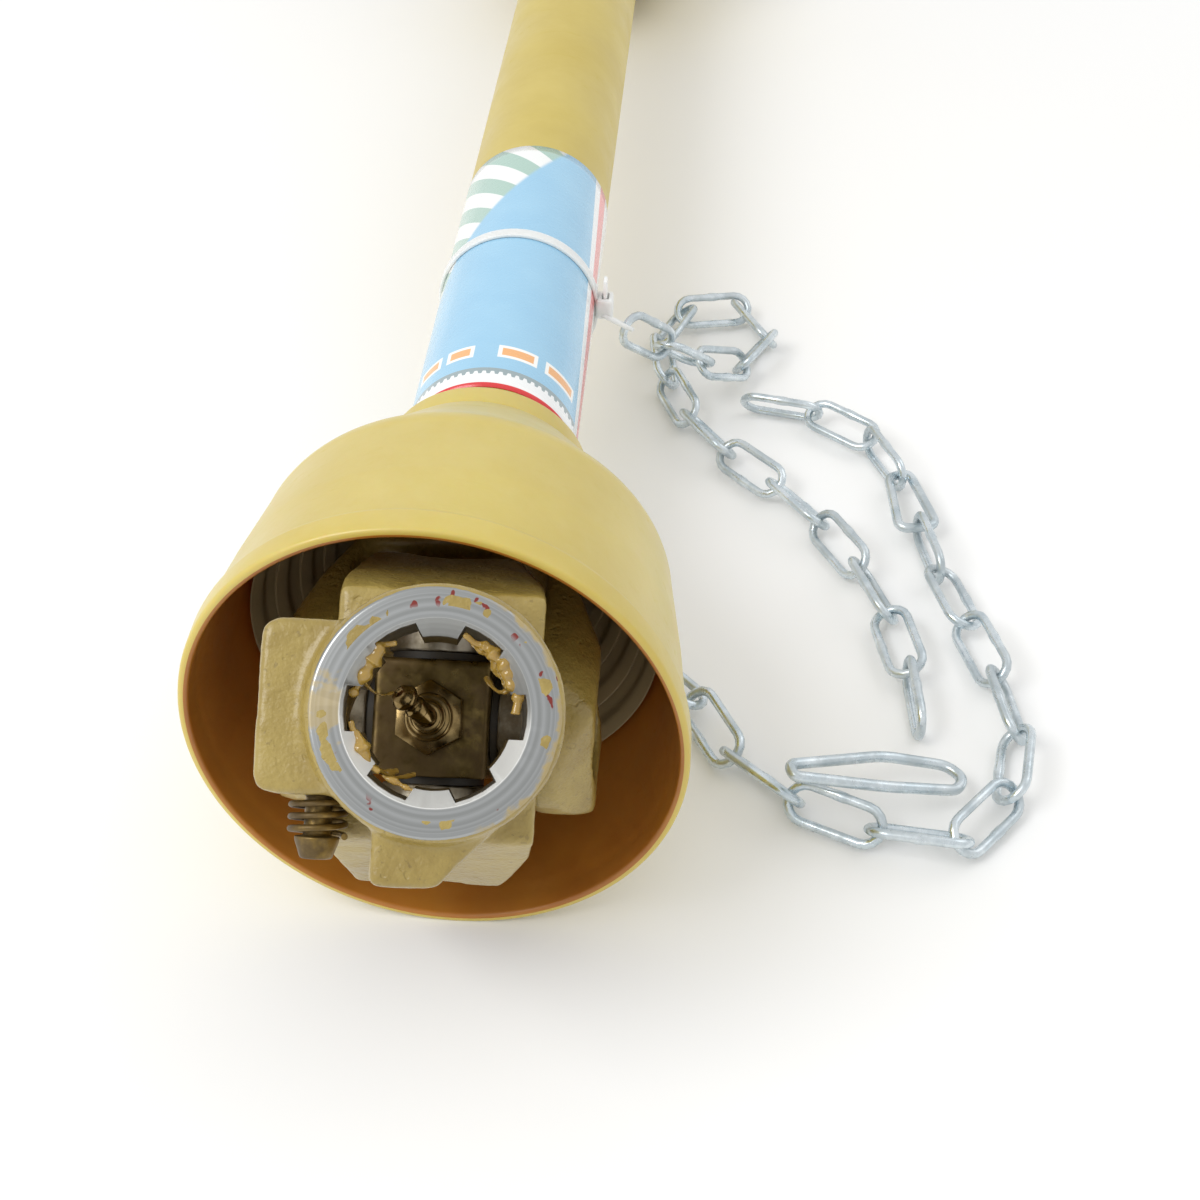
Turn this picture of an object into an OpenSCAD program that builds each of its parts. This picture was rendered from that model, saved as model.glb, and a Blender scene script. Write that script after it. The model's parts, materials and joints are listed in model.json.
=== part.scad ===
// Universal-joint drive shaft with a plastic safety guard.
// The shaft lies along Y on its two guard cones, with the near end towards -Y.
// The origin is on the floor under the middle of the object. The near yoke is
// bent upwards and the far yoke is straight. Lengths are in millimetres.

/* [Shaft] */
// Distance between the centres of the two joints
joint_span = 560; // [540:5:600]
// Upward bend of the near yoke, in degrees
near_bend = 47.5; // [0:0.5:48]
// Sideways swing of the near yoke, in degrees
near_swing = 7.6; // [0:0.1:12]
// Far end of the outer profile tube, from the near joint
outer_tube_end = 430; // [380:5:430]
// Near end of the inner profile tube, from the far joint
inner_tube_end = 430; // [380:5:430]

/* [Joint cross] */
// Length of the cross over its bearing caps
cross_span = 61.3; // [60:0.1:62]
// Diameter of a bearing cap
cap_d = 23.8; // [23:0.1:25]
// Diameter of a trunnion of the cross
trunnion_d = 16; // [14:0.5:17]
// Side of the block in the middle of the cross
cross_block = 26; // [22:1:28]

/* [Yokes] */
// Width over the outside of the two ears
ear_span = 73; // [71:0.5:75]
// Width of one ear
ear_w = 40; // [38:0.5:41]
// Gap between the ears
ear_gap = 45; // [44.5:0.5:46]
// Distance from the joint centre to the face of the splined hub
face_len = 66; // [64:1:70]
// Diameter of the splined hub
hub_d = 50; // [49:0.5:52]
// Diameter of the bare ring on the hub's face
face_d = 48.2; // [47:0.1:48.5]
// Major diameter of the spline
spline_major_d = 34.95; // [34.5:0.05:35.5]
// Minor diameter of the spline
spline_minor_d = 29.7; // [29:0.1:30.5]
// Width of one spline slot
spline_slot_w = 8.7; // [8:0.1:9.2]
// Diameter of the hub of the inner yokes
inner_hub_d = 44; // [43:0.5:45]

/* [Push pin] */
// Distance from the bore's axis to the pin's axis
pin_offset = 21.8; // [21.5:0.1:22.5]
// Diameter of the pin inside its boss
pin_d = 13; // [12:0.2:13]
// Diameter of the pin's stem
pin_stem_d = 8; // [7:0.2:8.4]
// Travel of the pin
pin_travel = 5; // [3:0.5:5]

/* [Guard] */
// Outside diameter of a guard cone at its mouth
bell_d = 115.2; // [114:0.2:118]
// Wall of a guard cone
bell_wall = 2.2; // [1.8:0.1:2.6]
// Distance that the mouth stands out in front of the joint centre
mouth_reach = 13.4; // [10:0.2:16]
// Outside diameter of the outer guard tube
outer_guard_d = 45.6; // [45:0.1:46]
// Outside diameter of the inner guard tube
inner_guard_d = 41; // [40:0.1:41]

/* [Label and chains] */
// Length of the label along the tube
label_len = 136; // [100:1:160]
// Diameter of the chain's wire
wire_d = 2.6; // [2:0.1:3]
// Length of one chain link over its ends
link_len = 28; // [26:0.5:30]
// Width of one chain link
link_w = 12.4; // [11:0.2:13]

/* [Hidden] */
$fn = 96;

// Gaps between pieces
run_gap = 0.05;
slide_gap = 0.25;
fit_gap = 0.1;
overcut = 1;

// Yoke details
ear_in = ear_gap / 2;
ear_out = ear_span / 2;
ear_r = ear_w / 2;
ear_edge = 8;
fork_depth = 38;
fork_round = 7;
hub_start = 42;
lead_in = 3.6;
clip_t = 1.4;
clip_deep = 1.2;
boss_out = 34;
boss_half = 16.8;
boss_front = 62;
boss_back = 40;
boss_round = 3.5;
pin_y = 51;
lug_left = 11;
lug_drop = 33.6;
lug_front = 61;
lug_back = 45;

// Push pin details, measured along its own axis from the bore's axis
pin_top = 9;
pin_shoulder = -12.5;
pin_tip = -29.4;
tip_len = 4;
tip_d = 8.6;
spring_d = 11;
spring_wire_d = 1.3;
spring_turns = 3;
plug_low = 14.6;

// Cross details
cap_deep = 13.2;
cap_floor = 2.2;
cap_in = cross_span / 2 - cap_deep;
trunnion_end = cross_span / 2 - cap_floor - 0.3;

// Inner yoke and guard bearing
inner_hub_start = 40;
groove_start = 61.5;
groove_end = 68;
groove_d = 39;
inner_hub_end = 71;
bearing_d = 56;
roll_pin_y = 52;
roll_pin_d = 8;
roll_pin_bore_d = 5;

// Lemon-shaped profile tubes: a round core with two keys
outer_core_d = 29;
outer_key = [34, 14];
inner_core_d = 24;
inner_key = [30, 9];
profile_start = 41;
inner_bore_d = 18;

// Guard
guard_tube_start = 72;
outer_guard_end = 440;
outer_guard_wall = 1.9;
inner_guard_wall = 1.5;
inner_guard_end = 440;
bell_r = bell_d / 2;
lip_len = 7.5;
lip_step = 0.9;
mouth_lean = 5.6;
shoulder_start = 44;
neck_s = 92;
collar_r = 27.4;
collar_start = 84;
rib_count = 4;
rib_pitch = 4.6;
base_mouth_s = 27;
base_mouth_r = 49.2;
base_slope = 1.5;
rib_high = 2.5;
screw_angles = [200, 270, 340];
screw_s = 88;
chain_lug_angle = -50;
chain_lug_s = 74;
chain_lug_r = 41.5;
lug_t = 2.6;
lug_eye_r = 5.6;
lug_hole_r = 3.1;

// Label and tie
label_start = 94;
label_t = 0.25;
label_wrap = 250;
tie_s = 175;
tie_w = 3.6;
tie_t = 1.1;

// The frame: floor at z = 0, joint centres at the height of the cones' radius,
// and the middle of the object's length at y = 0
axis_z = bell_r;
near_reach = (lug_front * cos(near_swing) + lug_left * sin(near_swing)) * cos(near_bend)
    + lug_drop * sin(near_bend);
near_y = (near_reach - joint_span - face_len) / 2;
far_y = near_y + joint_span;

// Chain routes: x and y from the near joint, z above the floor
chain_pitch = link_len - 2 * wire_d - 0.5;
lie_z = 6.3;
chain_1_route = [
    [27.7, 74, 24.6], [40, 76, 10], [56, 67, lie_z], [63, 48, lie_z], [74, 34, lie_z],
    [86, 26, lie_z], [100, 20, lie_z], [113, 15, lie_z], [126, 15, lie_z], [137, 23, lie_z],
    [143, 38, lie_z], [145, 56, lie_z], [142, 74, lie_z], [137, 91, lie_z], [132, 107, lie_z],
    [128, 122, lie_z], [124, 142, lie_z],
];
chain_1_tail_route = [
    [120, 163, lie_z], [114, 180, lie_z], [104, 192, lie_z], [88, 199, lie_z], [62, 202, lie_z],
];
chain_2_route = [
    [33, 180, 47], [45, 193, 32], [58, 207, 16], [71, 220, 8], [79, 234, lie_z],
    [77, 250, lie_z], [66, 260, lie_z], [52, 257, lie_z], [43, 245, lie_z], [41, 222, lie_z],
    [51, 194, lie_z], [66, 172, lie_z],
    [80, 158, lie_z], [92, 143, lie_z], [102, 127, lie_z], [110, 109, lie_z], [115, 91, lie_z],
    [118, 73, lie_z], [119, 55, lie_z], [118, 36, lie_z],
];
hook_1_points = [
    [116.3, 163.4, lie_z], [122.9, 165.8, lie_z], [130, 140.3, lie_z], [118.3, 137.9, lie_z],
];
hook_2_points = [
    [125, 41.2, 6.3], [129, 37, 6.3], [127, 32, 7], [108, 28, 11.5], [84, 25, 17], [83, 29, 17],
    [108, 41, 9],
];
chain_roll = 45;
roll_play = 8;
end_turn = 15;

// ---- Frames ----

// Turns a shape built along Z so that it runs along +Y
module along_y() rotate([-90, 0, 0]) children();

// Turns a shape built along Z so that it runs along +X
module along_x() rotate([0, 90, 0]) children();

// Near joint: origin at the joint centre, +Y towards the tube
module at_near() translate([0, near_y, axis_z]) children();

// Far joint: the same frame, turned to face the other way
module at_far() translate([0, far_y, axis_z]) rotate([0, 0, 180]) children();

// Cross of the near joint, bent up about the inner yoke's trunnions
module at_near_cross() at_near() rotate([-near_bend, 0, 0]) children();

// Splined yoke of the near joint, swung about the cross's other trunnions
module at_near_yoke() at_near_cross() rotate([0, 0, near_swing]) children();

// ---- Shared shapes ----

module ring(outer_r, inner_r, low, high) {
    along_y() translate([0, 0, low]) difference() {
        cylinder(h = high - low, r = outer_r);
        translate([0, 0, -overcut]) cylinder(h = high - low + 2 * overcut, r = inner_r);
    }
}

module rounded_block(size_x, size_y, round_r) {
    square([size_x - 2 * round_r, size_y], center = true);
    square([size_x, size_y - 2 * round_r], center = true);
    for (x = [-1, 1], y = [-1, 1]) {
        translate([x * (size_x / 2 - round_r), y * (size_y / 2 - round_r)]) circle(r = round_r);
    }
}

// Outline of a profile tube: a round core with two flat keys
module lemon(core_d, key) {
    circle(d = core_d);
    square(key, center = true);
}

// ---- Yoke forging, ears along X and hub towards +Y ----

module fork_side(hub_r) {
    polygon([
        [-ear_out + ear_edge, -ear_r], [ear_out - ear_edge, -ear_r], [ear_out, -ear_r + ear_edge],
        [ear_out, ear_r / 2], [hub_r, hub_start + 2], [-hub_r, hub_start + 2],
        [-ear_out, ear_r / 2], [-ear_out, -ear_r + ear_edge],
    ]);
}

module fork_front(hub_r) {
    circle(r = ear_r);
    polygon([[-ear_r, 0], [ear_r, 0], [hub_r - 2, hub_start + 2], [-hub_r + 2, hub_start + 2]]);
}

module fork_end() {
    polygon([
        [-ear_out, -ear_r + 4], [-ear_in - 6, -ear_r - 1], [ear_in + 6, -ear_r - 1],
        [ear_out, -ear_r + 4], [ear_out, ear_r - 4], [ear_in + 6, ear_r + 1],
        [-ear_in - 6, ear_r + 1], [-ear_out, ear_r - 4],
    ]);
}

module yoke_blank(hub_r) {
    difference() {
        intersection() {
            linear_extrude(height = ear_w + 4, center = true) fork_side(hub_r);
            along_x() linear_extrude(height = ear_span, center = true) fork_front(hub_r);
            along_y() linear_extrude(height = 3 * ear_span, center = true) fork_end();
        }
        // The gap between the ears, with rounded corners at its bottom
        linear_extrude(height = 2 * hub_d, center = true)
            translate([0, fork_depth / 2 - ear_r])
                rounded_block(ear_gap, fork_depth + 2 * ear_r, fork_round);
        along_x() cylinder(h = ear_span + 2 * overcut, d = cap_d, center = true);
        // Grooves for the circlips, just outside the caps
        for (side = [-1, 1]) {
            translate([side * (cross_span / 2 + clip_t / 2), 0, 0]) along_x()
                cylinder(h = clip_t, d = cap_d + 2 * clip_deep, center = true);
        }
    }
}

// Two bearing caps on the X axis
module caps() {
    for (side = [0, 180]) rotate([0, 0, side]) along_x() translate([0, 0, cap_in]) difference() {
        cylinder(h = cap_deep, d = cap_d);
        translate([0, 0, -overcut])
            cylinder(h = cap_deep - cap_floor + overcut, d = trunnion_d + 2 * run_gap);
    }
}

// Two open rings that hold the caps in
module circlips() {
    for (side = [0, 180]) rotate([0, 0, side]) {
        along_x() translate([0, 0, cross_span / 2]) difference() {
            cylinder(h = clip_t, d = cap_d + 2 * clip_deep);
            translate([0, 0, -overcut]) cylinder(h = clip_t + 2 * overcut, d = cap_d - 5);
            translate([0, -3, -overcut]) cube([cap_d, 6, clip_t + 2 * overcut]);
        }
    }
}

// ---- Cross ----

module cross_body() {
    color([0.42, 0.38, 0.28]) {
        cube(cross_block, center = true);
        along_x() cylinder(h = 2 * trunnion_end, d = trunnion_d, center = true);
        cylinder(h = 2 * trunnion_end, d = trunnion_d, center = true);
    }
}

module cross_seals() {
    color([0.12, 0.12, 0.12]) for (turn = [0, 90, 180, 270]) rotate([0, turn, 0]) along_x()
        translate([0, 0, cross_block / 2 + fit_gap]) difference() {
            cylinder(h = cap_in - cross_block / 2 - 3 * fit_gap, d = cap_d - 1.6);
            translate([0, 0, -overcut]) cylinder(h = cap_in, d = trunnion_d + 2 * fit_gap);
        }
}

// Angled grease nipple on the face of the cross that looks out through the bore
module grease_nipple() {
    color([0.55, 0.47, 0.30]) translate([0, -cross_block / 2, 0]) rotate([90, 0, 0]) {
        cylinder(h = 4, d = 11, $fn = 6);
        cylinder(h = 6.5, d = 6.4);
        translate([0, 0, 5]) rotate([-38, -28, 0]) {
            cylinder(h = 6, d = 5.2);
            translate([0, 0, 6.5]) sphere(d = 6);
        }
    }
}

// ---- Splined yoke: frame at the joint, hub towards -Y, ears along Z ----

module spline_bore(length) {
    cylinder(h = length, d = spline_minor_d);
    intersection() {
        cylinder(h = length, d = spline_major_d);
        for (turn = [0, 60, 120]) rotate([0, 0, turn])
            translate([-hub_d / 2, -spline_slot_w / 2, 0]) cube([hub_d, spline_slot_w, length]);
    }
}

module pin_boss() {
    boss_w = boss_out - 12;
    translate([-12 - boss_w / 2, -boss_back, 0]) rotate([90, 0, 0])
        linear_extrude(height = boss_front - boss_back)
            rounded_block(boss_w, 2 * boss_half, boss_round);
}

// Cast lug under the hub, with one side that runs up to it at a slant
module hub_lug() {
    translate([0, -lug_back, 0]) rotate([90, 0, 0]) linear_extrude(height = lug_front - lug_back)
        polygon([[-lug_left, -15], [-lug_left, -lug_drop], [2, -lug_drop], [5, -30], [22, -12]]);
}

module splined_yoke() {
    color([0.80, 0.70, 0.40]) difference() {
        union() {
            rotate([0, 0, 180]) rotate([0, 90, 0]) yoke_blank(hub_d / 2);
            translate([0, -hub_start, 0]) rotate([90, 0, 0]) {
                cylinder(h = face_len - hub_start - 1, d = hub_d);
                translate([0, 0, face_len - hub_start - 1]) cylinder(h = 1, d1 = hub_d, d2 = face_d);
            }
            pin_boss();
            hub_lug();
        }
        translate([0, -face_len - overcut, 0]) along_y() spline_bore(face_len);
        // Lead-in chamfer at the mouth of the bore
        translate([0, -face_len, 0]) along_y()
            cylinder(h = lead_in, d1 = spline_major_d + 1, d2 = spline_minor_d - 0.1);
        // Pin bore, stepped to a smaller hole for the stem
        translate([-pin_offset, -pin_y, pin_shoulder - fit_gap])
            cylinder(h = boss_half - pin_shoulder + overcut, d = pin_d + 2 * run_gap);
        translate([-pin_offset, -pin_y, -boss_half - overcut])
            cylinder(h = boss_half, d = pin_stem_d + 2 * run_gap);
        // Room in the side of the hub for the spring
        translate([-pin_offset, -pin_y, -hub_d / 2 - boss_half])
            cylinder(h = hub_d / 2, d = spring_d + 1);
    }
}

// Locking pin: its scallop lets the shaft past when the pin is pushed in
module push_pin() {
    color([0.45, 0.38, 0.24]) difference() {
        translate([-pin_offset, -pin_y, 0]) {
            translate([0, 0, pin_shoulder]) cylinder(h = pin_top - pin_shoulder, d = pin_d);
            translate([0, 0, pin_tip + tip_len])
                cylinder(h = pin_shoulder - pin_tip - tip_len, d = pin_stem_d);
            translate([0, 0, pin_tip]) cylinder(h = tip_len, d1 = 6.2, d2 = tip_d);
        }
        translate([0, -pin_y, -pin_travel]) rotate([90, 0, 0])
            cylinder(h = pin_d + 2, d = spline_major_d + 0.4, center = true);
    }
}

module pin_spring() {
    spring_low = pin_tip + tip_len + spring_wire_d / 2 + fit_gap;
    spring_high = -boss_half - spring_wire_d / 2 - fit_gap;
    color([0.50, 0.42, 0.27]) for (turn = [0 : spring_turns - 1])
        translate([-pin_offset, -pin_y,
            spring_low + turn * (spring_high - spring_low) / (spring_turns - 1)])
            rotate_extrude() translate([(spring_d - spring_wire_d) / 2, 0]) circle(d = spring_wire_d, $fn = 24);
}

module pin_plug() {
    color([0.80, 0.70, 0.40]) translate([-pin_offset, -pin_y, plug_low])
        cylinder(h = boss_half - plug_low, d = pin_d);
}

// ---- Inner yoke: frame at the joint, hub towards +Y, ears along X ----

module inner_yoke(core_d, key) {
    color([0.78, 0.68, 0.38]) difference() {
        union() {
            yoke_blank(inner_hub_d / 2);
            along_y() translate([0, 0, inner_hub_start]) {
                cylinder(h = groove_start - inner_hub_start, d = inner_hub_d);
                cylinder(h = inner_hub_end - inner_hub_start, d = groove_d);
            }
            ring(20.4, groove_d / 2 - 1, groove_end, inner_hub_end);
        }
        // Socket for the profile tube
        along_y() translate([0, 0, profile_start - fit_gap])
            linear_extrude(height = inner_hub_end)
                lemon(core_d + 2 * fit_gap, key + 2 * fit_gap * [1, 1]);
        translate([0, roll_pin_y, 0])
            cylinder(h = inner_hub_d + 2 * overcut, d = roll_pin_d + 2 * fit_gap, center = true);
    }
}

module roll_pin() {
    color([0.30, 0.30, 0.30]) translate([0, roll_pin_y, 0]) difference() {
        cylinder(h = inner_hub_d - 3, d = roll_pin_d, center = true);
        cylinder(h = inner_hub_d, d = roll_pin_bore_d, center = true);
        translate([0, -0.5, -inner_hub_d / 2]) cube([roll_pin_d, 1, inner_hub_d]);
    }
}

module profile_tube(core_d, key, wall_key, wall_core_d, length) {
    color([0.35, 0.34, 0.32]) difference() {
        along_y() translate([0, 0, profile_start])
            linear_extrude(height = length - profile_start) lemon(core_d, key);
        along_y() translate([0, 0, profile_start - overcut])
            linear_extrude(height = length - profile_start + 2 * overcut)
                lemon(wall_core_d, wall_key);
        translate([0, roll_pin_y, 0])
            cylinder(h = inner_hub_d + 2 * overcut, d = roll_pin_d + 2 * fit_gap, center = true);
    }
}

// ---- Guard ----

// Outline of a guard cone as [radius, distance from the joint] from mouth to neck
function bell_outline(inset) = concat(
    [[bell_r - inset, -mouth_reach], [bell_r - inset, -mouth_reach + lip_len],
     [bell_r - lip_step - inset, -mouth_reach + lip_len + 1]],
    [[54.6 - inset, 18]],
    [for (a = [0 : 10 : 50]) [40.4 - inset + 11 * cos(a), shoulder_start + 11 * sin(a)]],
    [[29.6 - inset, collar_start - 1]]
);

module bell(tube_d) {
    outer = bell_outline(0);
    inner = bell_outline(bell_wall);
    points = concat(
        outer,
        [[collar_r, collar_start], [collar_r, neck_s]],
        [[tube_d / 2 + 2.7, neck_s], [tube_d / 2 + 2.7, collar_start - 2]],
        [for (i = [len(inner) - 2 : -1 : 0]) inner[i]]
    );
    color([0.83, 0.71, 0.28]) difference() {
        union() {
            along_y() rotate_extrude() polygon(points);
            chain_lug();
        }
        for (a = screw_angles) rotate([0, -a, 0]) translate([20, screw_s, 0]) along_x()
            cylinder(h = 20, d = 4.2);
        // The mouth leans back towards its top
        translate([-bell_d, -mouth_reach, -bell_r]) rotate([-mouth_lean, 0, 0])
            translate([0, -bell_r, -bell_r]) cube([2 * bell_d, bell_r, 2 * bell_d]);
    }
}

// Flat moulded eye on the shoulder of the cone, where the safety chain hooks on
module chain_lug() {
    rotate([0, -chain_lug_angle, 0]) translate([chain_lug_r, chain_lug_s, 0]) difference() {
        union() {
            translate([-8, -lug_eye_r, -lug_t / 2]) cube([8, 2 * lug_eye_r, lug_t]);
            cylinder(h = lug_t, r = lug_eye_r, center = true);
        }
        cylinder(h = 2 * lug_t, r = lug_hole_r, center = true);
    }
}

// Front of the base cone at a given radius, as a distance from the joint
function base_front(r) = base_mouth_s + 2.5 + (base_mouth_r - r) * base_slope;

// Ribbed inner cone that grips the guard tube and carries the bearing
module base_cone(tube_d) {
    grip_r = tube_d / 2 + fit_gap;
    seat_r = bearing_d / 2 + fit_gap;
    rib_w = rib_pitch / 2;
    color([0.30, 0.27, 0.20]) difference() {
        along_y() rotate_extrude() polygon(concat(
            [[grip_r, neck_s - 1], [grip_r + 2.4, neck_s - 1], [grip_r + 2.4, 75]],
            [[seat_r + 2.4, 71], [seat_r + 2.4, base_front(seat_r) + 2]],
            [[base_mouth_r, base_front(base_mouth_r) + 3]],
            [for (i = [0 : rib_count - 1]) let (r = base_mouth_r - i * rib_pitch) each [
                [r, base_front(r) - rib_high], [r - rib_w, base_front(r - rib_w) - rib_high],
                [r - rib_w, base_front(r - rib_w)], [r - rib_pitch, base_front(r - rib_pitch)],
            ]],
            [[seat_r, base_front(seat_r)], [seat_r, groove_end], [grip_r, guard_tube_start - 1.5]]
        ));
        for (a = screw_angles) rotate([0, -a, 0]) translate([20, screw_s, 0]) along_x()
            cylinder(h = 20, d = 3.2);
    }
}

// Nylon ring that turns in the inner yoke's groove
module guard_bearing() {
    color([0.86, 0.86, 0.82])
        ring(bearing_d / 2, groove_d / 2 + run_gap, groove_start + 0.3, groove_end - 0.3);
}

// Screws through the neck of the cone, heads outside
module cone_screws(tube_d) {
    color([0.70, 0.70, 0.68]) for (a = screw_angles) rotate([0, -a, 0])
        translate([0, screw_s, 0]) along_x() difference() {
            union() {
                translate([0, 0, tube_d / 2 + 0.3])
                    cylinder(h = collar_r - tube_d / 2 - 0.1, d = 3);
                translate([0, 0, collar_r + fit_gap]) cylinder(h = 2, d = 7);
            }
            translate([0, 0, collar_r + 2.1]) cube([4, 0.9, 2], center = true);
            translate([0, 0, collar_r + 2.1]) cube([0.9, 4, 2], center = true);
        }
}

module guard_tube(outer_d, wall, length) {
    color([0.80, 0.69, 0.30]) ring(outer_d / 2, outer_d / 2 - wall, guard_tube_start, length);
}

// Printed sheet round the top of the outer guard tube
module label() {
    color([0.45, 0.66, 0.80]) translate([0, label_start, 0]) along_y()
        rotate([0, 0, -90 - label_wrap / 2]) rotate_extrude(angle = label_wrap)
            translate([outer_guard_d / 2 + 0.02, 0]) square([label_t, label_len]);
}

module tie() {
    tie_r = outer_guard_d / 2 + label_t + 0.1;
    color([0.92, 0.92, 0.90]) {
        ring(tie_r + tie_t, tie_r, tie_s - tie_w / 2, tie_s + tie_w / 2);
        translate([tie_r + 0.3, tie_s - 3, -3]) cube([5, 6, 6.5]);
    }
}

// ---- Chains ----

function leg(p, i) = norm(p[i + 1] - p[i]);
function place(p, s, i = 0) =
    i == len(p) - 2 || s <= leg(p, i)
        ? p[i] + (p[i + 1] - p[i]) * s / leg(p, i)
        : place(p, s - leg(p, i), i + 1);
function route_len(p, i = 0) = i == len(p) - 1 ? 0 : leg(p, i) + route_len(p, i + 1);
function link_count(p) = floor(route_len(p) / chain_pitch);

// Roll of a link that lies on the floor, and of the links beside a chain's two end links
function lying_roll(i) = chain_roll + 90 * i + roll_play * sin(100 * i);
function link_roll(i, last, first_roll, last_roll) =
    i == 0 ? first_roll
    : i == last ? last_roll
    : i == 1 || i == last - 1 ? lying_roll(i) + (i % 2 == 1 ? end_turn : -end_turn)
    : lying_roll(i);

// One link: long side along X, width along Y
module chain_link() {
    straight = link_len - link_w;
    bend_r = (link_w - wire_d) / 2;
    for (end = [0, 180]) rotate([0, 0, end]) {
        translate([straight / 2, 0, 0]) rotate([0, 0, -90]) rotate_extrude(angle = 180)
            translate([bend_r, 0]) circle(d = wire_d, $fn = 24);
        translate([-straight / 2, bend_r, 0]) along_x() cylinder(h = straight, d = wire_d);
    }
}

// Links laid end to end on a route, each rolled a quarter turn from the last
module chain(route, first_roll, last_roll) {
    last = link_count(route) - 1;
    color([0.80, 0.85, 0.88]) translate([0, 0, -axis_z]) for (i = [0 : last]) {
        a = place(route, i * chain_pitch);
        b = place(route, (i + 1) * chain_pitch);
        d = b - a;
        roll = link_roll(i, last, first_roll, last_roll);
        translate((a + b) / 2) rotate([roll, -asin(d[2] / norm(d)), atan2(d[1], d[0])])
            chain_link($fn = 24);
    }
}

// Closed loop of eight-sided wire between points, its pieces run a little past each corner
module wire_loop(points, d) {
    for (i = [0 : len(points) - 1]) {
        a = points[i];
        b = points[(i + 1) % len(points)];
        v = b - a;
        translate(a) rotate([0, acos(v[2] / norm(v)), atan2(v[1], v[0])])
            translate([0, 0, -d / 3]) cylinder(h = norm(v) + 2 * d / 3, d = d, $fn = 8);
    }
}

module chain_hook(points) {
    color([0.80, 0.85, 0.88]) translate([0, 0, -axis_z]) wire_loop(points, 3);
}

// ---- The object ----

at_near_yoke() splined_yoke();  // near_yoke
at_near_yoke() push_pin();  // near_push_pin
at_near_yoke() pin_spring();  // near_pin_spring
at_near_yoke() pin_plug();  // near_pin_plug
at_near_yoke() rotate([0, 90, 0]) caps();  // near_yoke_caps
at_near_yoke() rotate([0, 90, 0]) circlips();  // near_yoke_circlips
at_near_cross() cross_body();  // near_cross
at_near_cross() cross_seals();  // near_cross_seals
at_near_cross() grease_nipple();  // near_grease_nipple
at_near() inner_yoke(outer_core_d, outer_key);  // near_inner_yoke
at_near() caps();  // near_inner_caps
at_near() circlips();  // near_inner_circlips
at_near() roll_pin();  // near_roll_pin
at_near()  // outer_profile_tube
    profile_tube(outer_core_d, outer_key, inner_key + 2 * slide_gap * [1, 1],
        inner_core_d + 2 * slide_gap, outer_tube_end);
at_far()  // inner_profile_tube
    profile_tube(inner_core_d, inner_key, [1, 1], inner_bore_d, inner_tube_end);
at_near() guard_bearing();  // near_guard_bearing
at_near() base_cone(outer_guard_d);  // near_base_cone
at_near() bell(outer_guard_d);  // near_bell
at_near() cone_screws(outer_guard_d);  // near_cone_screws
at_near()  // outer_guard_tube
    guard_tube(outer_guard_d, outer_guard_wall, outer_guard_end);
at_far()  // inner_guard_tube
    guard_tube(inner_guard_d, inner_guard_wall, inner_guard_end);
at_near() label();  // label_sheet
at_near() tie();  // cable_tie
at_near() {  // safety_chain_1
    chain(chain_1_route, 90, 90);
    chain(chain_1_tail_route, 90, 60);
}
at_near() chain_hook(hook_1_points);  // safety_chain_1_hook
at_near() chain(chain_2_route, 90, 90);  // safety_chain_2
at_near() chain_hook(hook_2_points);  // safety_chain_2_hook
at_far() guard_bearing();  // far_guard_bearing
at_far() base_cone(inner_guard_d);  // far_base_cone
at_far() bell(inner_guard_d);  // far_bell
at_far() cone_screws(inner_guard_d);  // far_cone_screws
at_far() roll_pin();  // far_roll_pin
at_far() inner_yoke(inner_core_d, inner_key);  // far_inner_yoke
at_far() caps();  // far_inner_caps
at_far() circlips();  // far_inner_circlips
at_far() cross_body();  // far_cross
at_far() cross_seals();  // far_cross_seals
at_far() grease_nipple();  // far_grease_nipple
at_far() splined_yoke();  // far_yoke
at_far() push_pin();  // far_push_pin
at_far() pin_spring();  // far_pin_spring
at_far() pin_plug();  // far_pin_plug
at_far() rotate([0, 90, 0]) caps();  // far_yoke_caps
at_far() rotate([0, 90, 0]) circlips();  // far_yoke_circlips
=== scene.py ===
# %% [markdown]
# # A tractor driveline and its safety guard
# The object is the shaft that carries power from a tractor to a machine. A splined yoke at each end
# slides on to a stub shaft, a cross lets it bend, and two telescoping tubes join the ends. A yellow
# plastic guard stands still round all that turns, held by chains. The CAD frame gives every size and
# every joint, so this lesson only has to give each piece its finished surface.

# %% Open the frame
import json
import math

import bmesh
import bpy
from mathutils import Matrix, Vector, noise


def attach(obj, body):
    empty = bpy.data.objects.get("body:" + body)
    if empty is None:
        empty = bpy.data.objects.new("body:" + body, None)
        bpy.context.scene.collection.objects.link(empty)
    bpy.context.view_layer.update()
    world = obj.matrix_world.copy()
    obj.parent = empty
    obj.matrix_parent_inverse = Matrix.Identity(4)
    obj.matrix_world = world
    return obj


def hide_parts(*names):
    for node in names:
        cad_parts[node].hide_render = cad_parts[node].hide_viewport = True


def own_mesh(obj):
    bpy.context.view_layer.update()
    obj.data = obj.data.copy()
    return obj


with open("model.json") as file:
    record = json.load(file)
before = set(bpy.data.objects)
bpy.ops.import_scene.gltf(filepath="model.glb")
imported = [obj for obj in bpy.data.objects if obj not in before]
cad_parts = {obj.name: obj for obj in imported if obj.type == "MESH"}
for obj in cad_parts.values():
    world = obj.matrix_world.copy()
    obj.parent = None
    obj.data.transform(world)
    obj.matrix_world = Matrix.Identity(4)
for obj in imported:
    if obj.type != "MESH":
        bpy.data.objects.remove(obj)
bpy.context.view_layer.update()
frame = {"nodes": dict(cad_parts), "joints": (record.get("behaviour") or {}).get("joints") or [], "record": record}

joints = {joint["name"]: joint for joint in frame["joints"]}
mounts = {mount["name"]: mount for mount in frame["record"]["mounts"]}

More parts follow.
